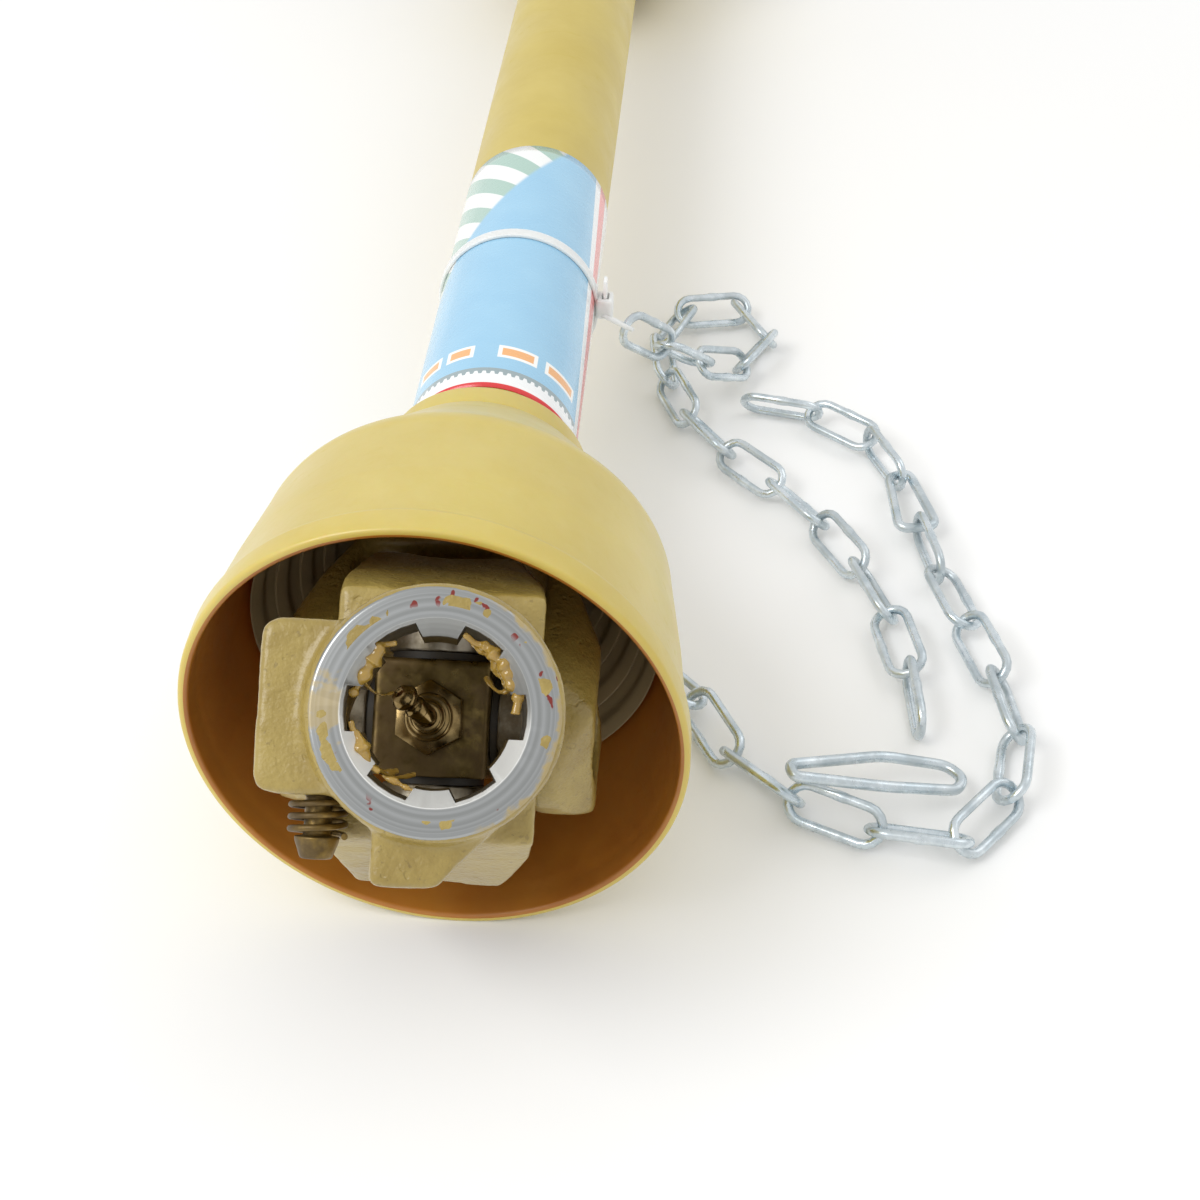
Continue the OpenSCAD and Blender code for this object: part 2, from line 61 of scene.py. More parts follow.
# %% [markdown]
# ## Where things are
# Every piece is modelled in millimetres in a small frame of its own, with the shaft along Y, and a
# matrix puts it in its place in metres. The joints and mounts of the frame say where those small
# frames lie, so nothing has to be measured again here.

# %% Local frames of the driveline
MM = 0.001


def local_frame(origin, x_axis, y_axis):
    """A matrix from millimetres in a local frame to metres in the row frame."""
    x_axis, y_axis = Vector(x_axis).normalized(), Vector(y_axis).normalized()
    turn = Matrix((x_axis, y_axis, x_axis.cross(y_axis))).transposed().to_4x4()
    return Matrix.Translation(Vector(origin)) @ turn @ Matrix.Scale(MM, 4)


near_joint = Vector(joints["near_pitch"]["pos_m"])
far_joint = Vector(joints["far_pitch"]["pos_m"])
near_ears = Vector(joints["near_swing"]["axis"]).normalized()
near_hub = Vector(mounts["near_spline"]["axis"]).normalized()
near_hub -= near_ears * near_hub.dot(near_ears)

NEAR = local_frame(near_joint, (1, 0, 0), (0, 1, 0))
FAR = local_frame(far_joint, (-1, 0, 0), (0, -1, 0))
NEAR_CROSS = local_frame(near_joint, (1, 0, 0), near_ears.cross(Vector((1, 0, 0))))
NEAR_YOKE = local_frame(near_joint, (-near_hub).cross(near_ears), -near_hub)
print("near joint", near_joint.to_tuple(4), "far joint", far_joint.to_tuple(4))

# %% [markdown]
# ## Making shapes
# Most pieces of a driveline are turned on a lathe, moulded round an axis, or cast. So three ways of
# making a shape cover nearly all: spin an outline, sweep a wire, or take the CAD solid and give it
# the soft corners and uneven skin of a casting.


# %% Round the corners of an outline
def round_corners(points, radius, steps=4, closed=True):
    """Replaces each corner of an outline by a short curve, no longer than its sides allow."""
    points = [Vector(p) for p in points]
    count, rounded = len(points), []
    for i, corner in enumerate(points):
        if not closed and i in (0, count - 1):
            rounded.append(corner)
            continue
        before, after = points[i - 1] - corner, points[(i + 1) % count] - corner
        reach = min(radius, 0.45 * before.length, 0.45 * after.length)
        start, end = corner + before.normalized() * reach, corner + after.normalized() * reach
        for k in range(steps + 1):
            t = k / steps
            rounded.append(start * (1 - t) ** 2 + corner * 2 * t * (1 - t) + end * t ** 2)
    return rounded


# %% Spin an outline round the Y axis
def lathe(outline, steps=96, closed=True, angle=2 * math.pi):
    """Spins an outline of (radius, distance along Y) points. A part turn leaves it open."""
    mesh = bmesh.new()
    verts = [mesh.verts.new((r, s, 0)) for r, s in outline]
    ends = verts[1:] + (verts[:1] if closed else [])
    edges = [mesh.edges.new(pair) for pair in zip(verts, ends)]
    full = angle > 6.28
    bmesh.ops.spin(mesh, geom=verts + edges, cent=(0, 0, 0), axis=(0, 1, 0), angle=angle,
                   steps=steps, use_merge=full, use_duplicate=False)
    bmesh.ops.remove_doubles(mesh, verts=mesh.verts, dist=1e-4)
    bmesh.ops.recalc_face_normals(mesh, faces=mesh.faces)
    return mesh


def turned(outline, radius=0.5, steps=64, corner_steps=3):
    """A solid turned part: an open outline from axis to axis, with its corners rounded."""
    return lathe(round_corners(outline, radius, corner_steps, closed=False), steps, closed=False)


# %% Make a block with rounded edges
def block(size, centre, radius, segments=3):
    """A box of that size with bevelled edges, in millimetres."""
    mesh = bmesh.new()
    bmesh.ops.create_cube(mesh, size=1)
    bmesh.ops.scale(mesh, vec=size, verts=mesh.verts)
    bmesh.ops.bevel(mesh, geom=mesh.edges[:], offset=radius, segments=segments, profile=0.5,
                    affect="EDGES", material=-1)
    bmesh.ops.translate(mesh, vec=centre, verts=mesh.verts)
    return mesh


# %% Put several shapes in one mesh
def joined(*parts):
    """One bmesh with all the parts in it; the parts are used up."""
    whole = bmesh.new()
    for part in parts:
        carrier = bpy.data.meshes.new("part")
        part.to_mesh(carrier)
        part.free()
        whole.from_mesh(carrier)
        bpy.data.meshes.remove(carrier)
    return whole


def moved(mesh, matrix):
    """The same bmesh after a transform."""
    bmesh.ops.transform(mesh, matrix=matrix, verts=mesh.verts)
    return mesh


# %% Sweep a wire along points
def wire(points, radius, closed=False, sides=6):
    """A round wire along points, made from a curve and returned as a bmesh."""
    curve = bpy.data.curves.new("wire", "CURVE")
    curve.dimensions, curve.bevel_depth, curve.bevel_resolution = "3D", radius, sides
    curve.use_fill_caps = not closed
    spline = curve.splines.new("POLY")
    spline.points.add(len(points) - 1)
    for point, place in zip(spline.points, points):
        point.co = (*place[:3], 1)
        point.radius = place[3] if len(place) > 3 else 1
    spline.use_cyclic_u = closed
    carrier = bpy.data.objects.new("wire", curve)
    bpy.context.scene.collection.objects.link(carrier)
    mesh = bmesh.new()
    made = carrier.evaluated_get(bpy.context.evaluated_depsgraph_get()).to_mesh()
    mesh.from_mesh(made)
    bpy.data.objects.remove(carrier)
    bpy.data.curves.remove(curve)
    bmesh.ops.remove_doubles(mesh, verts=mesh.verts, dist=1e-4)
    bmesh.ops.recalc_face_normals(mesh, faces=mesh.faces)
    return mesh


# %% Finish a piece
def finish_piece(name, mesh, place, body, material, replaced=(), sharp=38):
    """Makes the object in its place, shades it, hangs it on its body and hides the CAD nodes it replaces."""
    bmesh.ops.transform(mesh, matrix=place, verts=mesh.verts)
    data = bpy.data.meshes.new(name)
    mesh.to_mesh(data)
    mesh.free()
    data.shade_smooth()
    data.set_sharp_from_angle(angle=math.radians(sharp))
    piece = bpy.data.objects.new(name, data)
    bpy.context.scene.collection.objects.link(piece)
    for finish in material if isinstance(material, (list, tuple)) else [material]:
        data.materials.append(finish)
    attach(piece, body)
    if replaced:
        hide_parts(*replaced)
    print(name, "faces", len(data.polygons))
    return piece


# %% Apply one modifier
def applied(mesh, kind, **options):
    """Runs one modifier on a bmesh and returns the result as a new bmesh."""
    data = bpy.data.meshes.new("work")
    mesh.to_mesh(data)
    mesh.free()
    carrier = bpy.data.objects.new("work", data)
    bpy.context.scene.collection.objects.link(carrier)
    modifier = carrier.modifiers.new("work", kind)
    for key, value in options.items():
        setattr(modifier, key, value)
    result = bmesh.new()
    result.from_mesh(carrier.evaluated_get(bpy.context.evaluated_depsgraph_get()).to_mesh())
    bpy.data.objects.remove(carrier)
    bpy.data.meshes.remove(data)
    return result


def cut(mesh, tool, solver="EXACT"):
    """The shape with the tool's shape taken away."""
    data = bpy.data.meshes.new("tool")
    tool.to_mesh(data)
    tool.free()
    carrier = bpy.data.objects.new("tool", data)
    bpy.context.scene.collection.objects.link(carrier)
    result = applied(mesh, "BOOLEAN", operation="DIFFERENCE", solver=solver, object=carrier)
    bpy.data.objects.remove(carrier)
    bpy.data.meshes.remove(data)
    return result


# %% Turn a CAD solid into a casting
def smoothed(mesh, rounds):
    """Draws every vertex towards its neighbours, some rounds over."""
    for _ in range(rounds):
        bmesh.ops.smooth_vert(mesh, verts=mesh.verts, factor=0.5, use_axis_x=True, use_axis_y=True,
                              use_axis_z=True)
    return mesh


def casting(node, place, voxel=0.7, rounds=13, lumps=0.16):
    """A copy of a CAD node in its local frame, with rounded corners and a slightly uneven skin."""
    mesh = bmesh.new()
    mesh.from_mesh(frame["nodes"][node].data)
    bmesh.ops.remove_doubles(mesh, verts=mesh.verts, dist=1e-6)
    moved(mesh, place.inverted())
    mesh = smoothed(applied(mesh, "REMESH", mode="VOXEL", voxel_size=voxel), rounds)
    mesh.normal_update()
    for vert in mesh.verts:
        uneven = sum(noise.noise(vert.co * scale) * share
                     for scale, share in ((0.16, 1.2), (0.6, 0.5), (1.1, 0.35)))
        vert.co += vert.normal * uneven * lumps
    return mesh


# %% [markdown]
# ## Colours and node helpers
# A material is a small tree of nodes. `put` adds one node and feeds its sockets, so that a finish
# reads as a short list of steps. Colours are given as a painter mixes them, in the numbers of a
# colour chart, and turned into the linear light that the renderer works in.


# %% Node helpers
def shade(red, green, blue):
    """A colour from a chart, 0 to 255, as linear light."""
    linear = [c / 255 / 12.92 if c <= 10 else ((c / 255 + 0.055) / 1.055) ** 2.4 for c in (red, green, blue)]
    return (*linear, 1)


def put(tree, kind, feeds=None, **options):
    """Adds a node. A feed that is a socket is linked, and anything else is set."""
    node = tree.nodes.new("ShaderNode" + kind)
    for name, value in options.items():
        setattr(node, name, value)
    for name, value in (feeds or {}).items():
        if isinstance(value, bpy.types.NodeSocket):
            tree.links.new(value, node.inputs[name])
        else:
            node.inputs[name].default_value = value
    return node


def calc(tree, operation, a, b=0.0, clamp=False):
    return put(tree, "Math", {0: a, 1: b}, operation=operation, use_clamp=clamp).outputs[0]


def times(tree, a, b):
    return calc(tree, "MULTIPLY", a, b)


def between(tree, value, low, high, to_low=0.0, to_high=1.0):
    """Maps value from low..high to to_low..to_high, smoothly and clamped."""
    feeds = {"Value": value, 1: low, 2: high, 3: to_low, 4: to_high}
    return put(tree, "MapRange", feeds, interpolation_type="SMOOTHSTEP").outputs[0]


def blend(tree, mask, a, b):
    """A colour that goes from a to b with the mask."""
    return put(tree, "Mix", {0: mask, 6: a, 7: b}, data_type="RGBA").outputs[2]


def spots(tree, vector, scale, detail=3.0, rough=0.5):
    """Soft noise, 0 to 1."""
    return put(tree, "TexNoise", {"Vector": vector, "Scale": scale, "Detail": detail,
                                  "Roughness": rough}).outputs["Fac"]


# %% Start a material
def new_material(name):
    """A material with its tree, its Principled shader and the Object coordinates."""
    material = bpy.data.materials.new(name)
    material.use_nodes = True
    tree = material.node_tree
    shader = tree.nodes["Principled BSDF"]
    where = put(tree, "TexCoord").outputs["Object"]
    return material, tree, shader, where


def set_shader(shader, **values):
    """Sets plain numbers and colours on the shader's own sockets."""
    for name, value in values.items():
        shader.inputs[name.replace("_", " ")].default_value = value


def feed_shader(tree, shader, colour=None, roughness=None, height=None, metallic=None, bump=0.3,
                distance=0.0004):
    """Links the patterns that change over the surface."""
    if colour is not None:
        tree.links.new(colour, shader.inputs["Base Color"])
    if roughness is not None:
        tree.links.new(roughness, shader.inputs["Roughness"])
    if metallic is not None:
        tree.links.new(metallic, shader.inputs["Metallic"])
    if height is not None:
        normal = put(tree, "Bump", {"Height": height, "Strength": bump, "Distance": distance})
        tree.links.new(normal.outputs["Normal"], shader.inputs["Normal"])


def new_group(name, inputs, outputs):
    """A shader node group with float or vector sockets; returns its tree and two end nodes."""
    tree = bpy.data.node_groups.new(name, "ShaderNodeTree")
    for socket, kind in inputs:
        tree.interface.new_socket(name=socket, in_out="INPUT", socket_type="NodeSocket" + kind)
    for socket in outputs:
        tree.interface.new_socket(name=socket, in_out="OUTPUT", socket_type="NodeSocketFloat")
    return tree, tree.nodes.new("NodeGroupInput").outputs, tree.nodes.new("NodeGroupOutput").inputs


def use_group(tree, group, feeds):
    node = tree.nodes.new("ShaderNodeGroup")
    node.node_tree = group
    for name, value in feeds.items():
        if isinstance(value, bpy.types.NodeSocket):
            tree.links.new(value, node.inputs[name])
        else:
            node.inputs[name].default_value = value
    return node.outputs


# %% [markdown]
# ## Shared effects
# Three effects come back on many pieces: the pitted skin of a sand casting under paint, the fine
# rings that a cutting tool leaves on turned steel, and dust with handling marks on plastic. Each is
# made once as a node group that gives masks and heights, and the materials mix their own colours.

# %% Skin of a casting
cast_skin, given, put_out = new_group("Cast skin", [("Vector", "Vector"), ("Size", "Float")],
                                      ["Height", "Tone"])
peel = spots(cast_skin, given["Vector"], 900.0, 2.0)
cast_skin.links.new(given["Size"], peel.node.inputs["Scale"])
lumps = spots(cast_skin, given["Vector"], 260.0, 3.0, 0.6)
pits = between(cast_skin, spots(cast_skin, given["Vector"], 420.0, 1.0), 0.24, 0.34)
rise = calc(cast_skin, "ADD", times(cast_skin, peel, 0.6), times(cast_skin, lumps, 0.9))
cast_skin.links.new(calc(cast_skin, "ADD", rise, times(cast_skin, pits, 0.5)), put_out["Height"])
cast_skin.links.new(spots(cast_skin, given["Vector"], 45.0, 5.0, 0.65), put_out["Tone"])

# %% Rings of a turned surface
turning, given, put_out = new_group("Turning marks", [("Vector", "Vector"), ("Rings", "Float")],
                                    ["Height", "Tone"])
axes = put(turning, "SeparateXYZ", {0: given["Vector"]}).outputs
reach = calc(turning, "SQRT", calc(turning, "ADD", times(turning, axes[0], axes[0]),
                                   times(turning, axes[2], axes[2])))
along = calc(turning, "ADD", times(turning, reach, given["Rings"]),
             times(turning, axes[1], 900.0))
fine = put(turning, "TexNoise", {"W": along, "Scale": 1.0, "Detail": 3.0},
           noise_dimensions="1D").outputs["Fac"]
broad = put(turning, "TexNoise", {"W": times(turning, along, 0.16), "Scale": 1.0, "Detail": 2.0},
            noise_dimensions="1D").outputs["Fac"]
turning.links.new(calc(turning, "ADD", times(turning, fine, 0.7), times(turning, broad, 0.3)),
                  put_out["Height"])
turning.links.new(broad, put_out["Tone"])

# %% Dust and handling marks
dusting, given, put_out = new_group("Dust", [("Vector", "Vector"), ("Amount", "Float")],
                                    ["Mask", "Marks"])
upward = put(dusting, "SeparateXYZ", {0: put(dusting, "NewGeometry").outputs["Normal"]}).outputs["Z"]
cloud = spots(dusting, given["Vector"], 30.0, 6.0, 0.7)
settled = times(dusting, between(dusting, upward, -0.2, 0.9, 0.25, 1.0),
                between(dusting, cloud, 0.35, 0.75))
dusting.links.new(calc(dusting, "MULTIPLY", settled, given["Amount"], clamp=True), put_out["Mask"])
stretched = put(dusting, "Mapping", {"Vector": given["Vector"], "Scale": (30.0, 260.0, 260.0)}).outputs[0]
dusting.links.new(between(dusting, spots(dusting, stretched, 1.0, 4.0, 0.7), 0.58, 0.72), put_out["Marks"])
print("groups", [g.name for g in bpy.data.node_groups])

# %% [markdown]
# ## Moulded plastic
# The guard is blow-moulded mustard polyethylene. It is smooth and waxy, slightly uneven in colour,
# a little scuffed, and some light passes through its wall. The inside of the cone gets a darker,
# warmer colour of its own: painted shade and a painted glow for that light. One recipe with
# different colours gives the outside, the inside, the base cone and the nylon.


# %% Plastic recipe
def plastic(name, light, dark, dust_tone, rough=(0.30, 0.44), glow=0.0, glow_tone=(1, 0.5, 0.1), peel=0.16,
            dust=0.25, coat=0.15):
    material, tree, shader, where = new_material(name)
    tone = spots(tree, where, 22.0, 4.0, 0.6)
    dusty = use_group(tree, dusting, {"Vector": where, "Amount": dust})
    colour = blend(tree, between(tree, tone, 0.3, 0.7), dark, light)
    colour = blend(tree, dusty["Mask"], colour, dust_tone)
    roughness = calc(tree, "ADD", between(tree, spots(tree, where, 60.0, 5.0), 0.3, 0.7, *rough),
                     times(tree, dusty["Marks"], 0.12))
    height = calc(tree, "ADD", spots(tree, where, 420.0, 2.0), times(tree, dusty["Marks"], -0.3))
    feed_shader(tree, shader, colour, roughness, height, bump=peel)
    set_shader(shader, Specular_IOR_Level=0.5, IOR=1.5, Coat_Weight=coat, Coat_Roughness=0.25)
    if glow:
        set_shader(shader, Subsurface_Weight=glow, Subsurface_Radius=glow_tone, Subsurface_Scale=0.006)
    return material


# %% Plastics of the guard
guard_yellow = plastic("guard_yellow", shade(204, 184, 92), shade(196, 174, 80), shade(216, 204, 150),
                       rough=(0.32, 0.44), glow=0.2, coat=0.35)
# Inside of the cone: a darker orange base colour that paints the shade and the glow of light through the wall.
guard_inside_painted_glow_and_shade = plastic("guard_inside_painted_glow_and_shade", shade(178, 118, 42), shade(160, 98, 30), shade(160, 120, 66),
                       dust=0.1, glow=0.2)
tube_yellow = plastic("tube_yellow", shade(202, 182, 90), shade(192, 170, 76), shade(214, 198, 138),
                      rough=(0.34, 0.5))
base_grey = plastic("base_grey", shade(146, 128, 92), shade(122, 106, 74), shade(160, 146, 108),
                    rough=(0.42, 0.58), dust=0.4, coat=0.05)
nylon = plastic("nylon_white", shade(226, 224, 212), shade(214, 210, 194), shade(190, 180, 150),
                glow=0.3, glow_tone=(1, 0.9, 0.7))
tie_nylon = plastic("tie_nylon", shade(240, 242, 240), shade(230, 232, 230), shade(214, 212, 204),
                    glow=0.35, glow_tone=(1, 0.95, 0.9))
rubber = plastic("seal_rubber", shade(44, 40, 34), shade(30, 27, 23), shade(92, 78, 48),
                 rough=(0.5, 0.7), dust=0.6, coat=0.0)


# %% [markdown]
# ## Painted castings and metals
# The yokes are forged or cast and dipped in the same mustard paint as the guard. The paint is thick,
# with an orange-peel skin, and dirt has gathered in its hollows. Steel that is machined after the
# painting stays bare, and the fine rings of the tool make it catch the light in arcs.

# %% Painted cast iron
def painted_casting(name, light, dark, dirt):
    material, tree, shader, where = new_material(name)
    skin = use_group(tree, cast_skin, {"Vector": where, "Size": 900.0})
    colour = blend(tree, between(tree, skin["Tone"], 0.34, 0.66), dark, light)
    hollow = between(tree, put(tree, "NewGeometry").outputs["Pointiness"], 0.42, 0.49, 1.0, 0.0)
    grime = times(tree, hollow, between(tree, spots(tree, where, 90.0, 4.0), 0.35, 0.6))
    flecks = between(tree, spots(tree, where, 700.0, 2.0), 0.66, 0.72)
    colour = blend(tree, calc(tree, "MAXIMUM", grime, times(tree, flecks, 0.3)), colour, dirt)
    roughness = between(tree, skin["Tone"], 0.3, 0.7, 0.34, 0.52)
    feed_shader(tree, shader, colour, roughness, skin["Height"], bump=0.6, distance=0.0008)
    set_shader(shader, Specular_IOR_Level=0.5, Coat_Weight=0.45, Coat_Roughness=0.2)
    return material


painted_cast = painted_casting("painted_cast", shade(164, 143, 74), shade(142, 120, 54), shade(78, 62, 32))

# %% Bare metals
def metal(name, light, dark, grime, grime_amount, rough=(0.28, 0.42), bump=0.12, metallic=1.0):
    """Plated or oiled metal with uneven tone, and grime in patches."""
    material, tree, shader, where = new_material(name)
    tone = spots(tree, where, 160.0, 4.0, 0.6)
    roughness = between(tree, spots(tree, where, 368.0, 4.0), 0.3, 0.7, *rough)
    patches = spots(tree, where, 75.0, 5.0, 0.7)
    mask = times(tree, between(tree, patches, 0.42, 0.6), grime_amount)
    colour = blend(tree, mask, blend(tree, between(tree, tone, 0.3, 0.7), dark, light), grime)
    roughness = calc(tree, "ADD", roughness, times(tree, mask, 0.2))
    bare = calc(tree, "SUBTRACT", metallic, times(tree, mask, 0.8))
    feed_shader(tree, shader, colour, roughness, spots(tree, where, 800.0, 3.0), bare, bump=bump,
                distance=0.0002)
    return material


zinc = metal("zinc_chain", shade(226, 234, 238), shade(196, 208, 214), rough=(0.2, 0.34),
             grime=shade(150, 158, 160), grime_amount=0.35)
zinc_screw = metal("zinc_screw", shade(214, 212, 204), shade(176, 174, 166),
                   grime=shade(120, 108, 80), grime_amount=0.4)
pin_steel = metal("pin_steel", shade(150, 124, 70), shade(96, 76, 38), rough=(0.26, 0.42),
                  grime=shade(64, 48, 20), grime_amount=0.7, metallic=0.9)
cap_steel = metal("cap_steel", shade(158, 150, 134), shade(112, 104, 88),
                  grime=shade(92, 74, 38), grime_amount=0.7)
clip_steel = metal("clip_steel", shade(92, 88, 80), shade(62, 58, 50), rough=(0.35, 0.5),
                   grime=shade(80, 62, 30), grime_amount=0.5)
cross_steel = metal("cross_steel", shade(112, 96, 58), shade(78, 64, 34), rough=(0.25, 0.45),
                    grime=shade(88, 66, 26), grime_amount=0.7, bump=0.1)
nipple_metal = metal("nipple_metal", shade(156, 134, 92), shade(118, 98, 60), rough=(0.12, 0.24),
                     grime=shade(104, 78, 32), grime_amount=0.3, bump=0.0)
tube_steel = metal("tube_steel", shade(118, 114, 106), shade(86, 82, 76), rough=(0.35, 0.5),
                   grime=shade(70, 54, 26), grime_amount=0.6)


# %% Turned steel of the hub
def turned_steel(name, place):
    """Bright steel with tool rings round the hub, paint smears at its edge, red specks and a painted highlight on
    the lower tooth ends.
    """
    material, tree, shader, where = new_material(name)
    turn = place.to_euler()
    hub = put(tree, "Mapping", {"Vector": where, "Location": place.translation, "Rotation": turn},
              vector_type="TEXTURE").outputs[0]
    rings = use_group(tree, turning, {"Vector": hub, "Rings": 7600.0})
    axes = put(tree, "SeparateXYZ", {0: hub}).outputs
    reach = calc(tree, "SQRT", calc(tree, "ADD", times(tree, axes[0], axes[0]),
                                    times(tree, axes[2], axes[2])))
    angle = calc(tree, "ARCTAN2", axes[2], axes[0])
    ragged = calc(tree, "SUBTRACT", spots(tree, hub, 260.0, 4.0, 0.6), 0.5)
    colour = blend(tree, between(tree, rings["Tone"], 0.3, 0.7), shade(152, 154, 153), shade(168, 170, 170))
    swipe = between(tree, calc(tree, "ADD", calc(tree, "ABSOLUTE", angle), ragged), 2.86, 3.02)
    swipe = times(tree, swipe, between(tree, reach, 0.0176, 0.0184))
    rim = between(tree, calc(tree, "ADD", reach, times(tree, ragged, 0.005)), 0.0229, 0.0240)
    rim = times(tree, rim, between(tree, angle, 1.25, 0.9))
    rim = times(tree, rim, between(tree, angle, -1.3, -1.0))
    paint = calc(tree, "MAXIMUM", times(tree, swipe, 0.6), times(tree, rim, 0.8))
    speck = between(tree, spots(tree, hub, 300.0, 2.0), 0.665, 0.69)
    speck = times(tree, speck, between(tree, reach, 0.0195, 0.0212))
    inside = between(tree, reach, 0.0172, 0.0168)
    oily = times(tree, inside, between(tree, axes[1], -0.0620, -0.0585))
    colour = blend(tree, oily, colour, shade(78, 64, 34))
    colour = blend(tree, paint, colour, shade(172, 148, 84))
    colour = blend(tree, speck, colour, shade(118, 34, 24))
    # Painted highlight: the tooth ends at the bore mouth, lower half only, are painted near white and a little
    # rougher.
    painted_glint = times(tree, between(tree, reach, 0.0184, 0.0180),
                 between(tree, axes[1], -0.0615, -0.0625))
    painted_glint = times(tree, painted_glint, between(tree, axes[2], 0.004, -0.004, 0.25, 1.0))
    colour = blend(tree, painted_glint, colour, shade(238, 238, 234))
    roughness = between(tree, rings["Height"], 0.3, 0.7, 0.28, 0.36)
    roughness = calc(tree, "ADD", roughness, times(tree, paint, 0.15))
    roughness = calc(tree, "ADD", roughness, times(tree, painted_glint, 0.2))
    bare = calc(tree, "SUBTRACT", 1.0, calc(tree, "MAXIMUM", paint, calc(tree, "MAXIMUM", speck, oily)))
    feed_shader(tree, shader, colour, roughness, rings["Height"], bare, bump=0.035, distance=0.0002)
    return material


# %% Grease
grease, tree, grease_shader, where = new_material("grease")
colour = blend(tree, spots(tree, where, 240.0, 3.0), shade(186, 142, 46), shade(226, 190, 96))
feed_shader(tree, grease_shader, colour, None, spots(tree, where, 500.0, 2.0), bump=0.3)
set_shader(grease_shader, Roughness=0.12, Transmission_Weight=0.5, IOR=1.47, Coat_Weight=0.6)
print("materials", len(bpy.data.materials))

# %% [markdown]
# ## The guard cones
# The cone is one blow-moulded shell with a rolled band at its mouth, a rounded shoulder and a neck
# with a groove. A lathe outline with rounded corners gives exactly that. The inside faces get the
# second material, a darker orange that is painted shade and a painted glow for the light that
# passes through the wall.

# %% Outline of a cone
BELL_RADIUS, BELL_WALL, MOUTH = 57.6, 2.2, -13.4
MOUTH_SLOPE = math.tan(math.radians(5.6))


def bell_outline(neck_radius):
    """Outer line from mouth to neck, then back down the inner line."""
    outer = [(BELL_RADIUS, MOUTH), (BELL_RADIUS, MOUTH + 7.2), (BELL_RADIUS - 1.0, MOUTH + 8.4), (54.6, 18)]
    turns = [math.radians(a) for a in range(0, 51, 10)]
    shoulder = [(40.4 + 11 * math.cos(a), 44 + 11 * math.sin(a)) for a in turns]
    neck = [(29.6, 82.4), (26.3, 83.0), (26.3, 84.6), (27.4, 85.4), (27.4, 92), (neck_radius, 92),
            (neck_radius, 82)]
    inner = [(r - BELL_WALL, s) for r, s in reversed(outer + shoulder)]
    inner[-2:] = [(BELL_RADIUS - BELL_WALL - 0.6, MOUTH + 6), (BELL_RADIUS - BELL_WALL - 0.2, MOUTH)]
    return outer + shoulder + neck + inner


# %% Eye for the chain
LUG_ANGLE, LUG_CENTRE, LUG_AXIAL = math.radians(50), 41.5, 74.0


def chain_eye():
    """A flat moulded tab with a hole, on the shoulder of the cone."""
    plate = bmesh.new()
    bmesh.ops.create_circle(plate, cap_ends=False, radius=3.1, segments=24)
    outside = bmesh.ops.create_circle(plate, cap_ends=False, radius=5.6, segments=24)["verts"]
    bmesh.ops.bridge_loops(plate, edges=plate.edges[:])
    for vert in outside:
        if vert.co.x < 0:
            vert.co = Vector((-9.0, vert.co.y / max(abs(vert.co.normalized().y), 0.35), 0))
            vert.co.y = max(-5.6, min(5.6, vert.co.y))
    bmesh.ops.solidify(plate, geom=plate.faces[:], thickness=2.6)
    bmesh.ops.recalc_face_normals(plate, faces=plate.faces)
    bmesh.ops.translate(plate, vec=(LUG_CENTRE, LUG_AXIAL, 1.3), verts=plate.verts)
    return moved(plate, Matrix.Rotation(LUG_ANGLE, 4, "Y"))


# %% Model both cones
def lean_mouth(mesh, oval):
    """Leans the mouth back at its top, as in the CAD, and lets it sag a little out of round."""
    for vert in mesh.verts:
        x, s, z = vert.co
        near_mouth = min(max((46 - s) / (46 - MOUTH), 0), 1)
        near_mouth *= near_mouth * (3 - 2 * near_mouth)
        pull = 1 + oval * near_mouth * math.cos(2 * (math.atan2(x, z) - math.radians(135)))
        vert.co = (x * pull, s + (z + BELL_RADIUS) * MOUTH_SLOPE * near_mouth, z * pull)
    mesh.normal_update()


def make_bell(end, place, body, neck_radius, oval):
    mesh = lathe(round_corners(bell_outline(neck_radius), 1.0, 3), steps=192)
    for face in mesh.faces:
        middle = face.calc_center_median()
        outward = Vector((middle.x, 0, middle.z)).normalized().dot(face.normal)
        # Inner faces of the cone take the second material, whose colour is painted shade and painted glow.
        inside_line = math.hypot(middle.x, middle.z) < 56.0 and outward < -0.05
        face.material_index = 1 if inside_line and middle.y < 83 else 0
    lean_mouth(mesh, oval)
    return finish_piece(f"{end}_bell_shell", joined(mesh, chain_eye()), place, body,
                        [guard_yellow, guard_inside_painted_glow_and_shade], [f"{end}_bell"])


make_bell("near", NEAR, "guard_outer", 25.5, 0.022)
make_bell("far", FAR, "guard_inner", 23.2, 0.0)

# %% [markdown]
# ## The base cones
# Inside the mouth a stiff dark cone with round ridges carries the bearing and grips the tube. Its
# ridges are the step-shaped outline of the CAD solid with soft corners.

# %% Model the base cones
BASE_RADIUS, SEAT_RADIUS = 49.2, 28.2


def front(radius):
    """Distance of the ridged front from the joint, at a radius."""
    return 29.5 + (BASE_RADIUS - radius) * 1.5


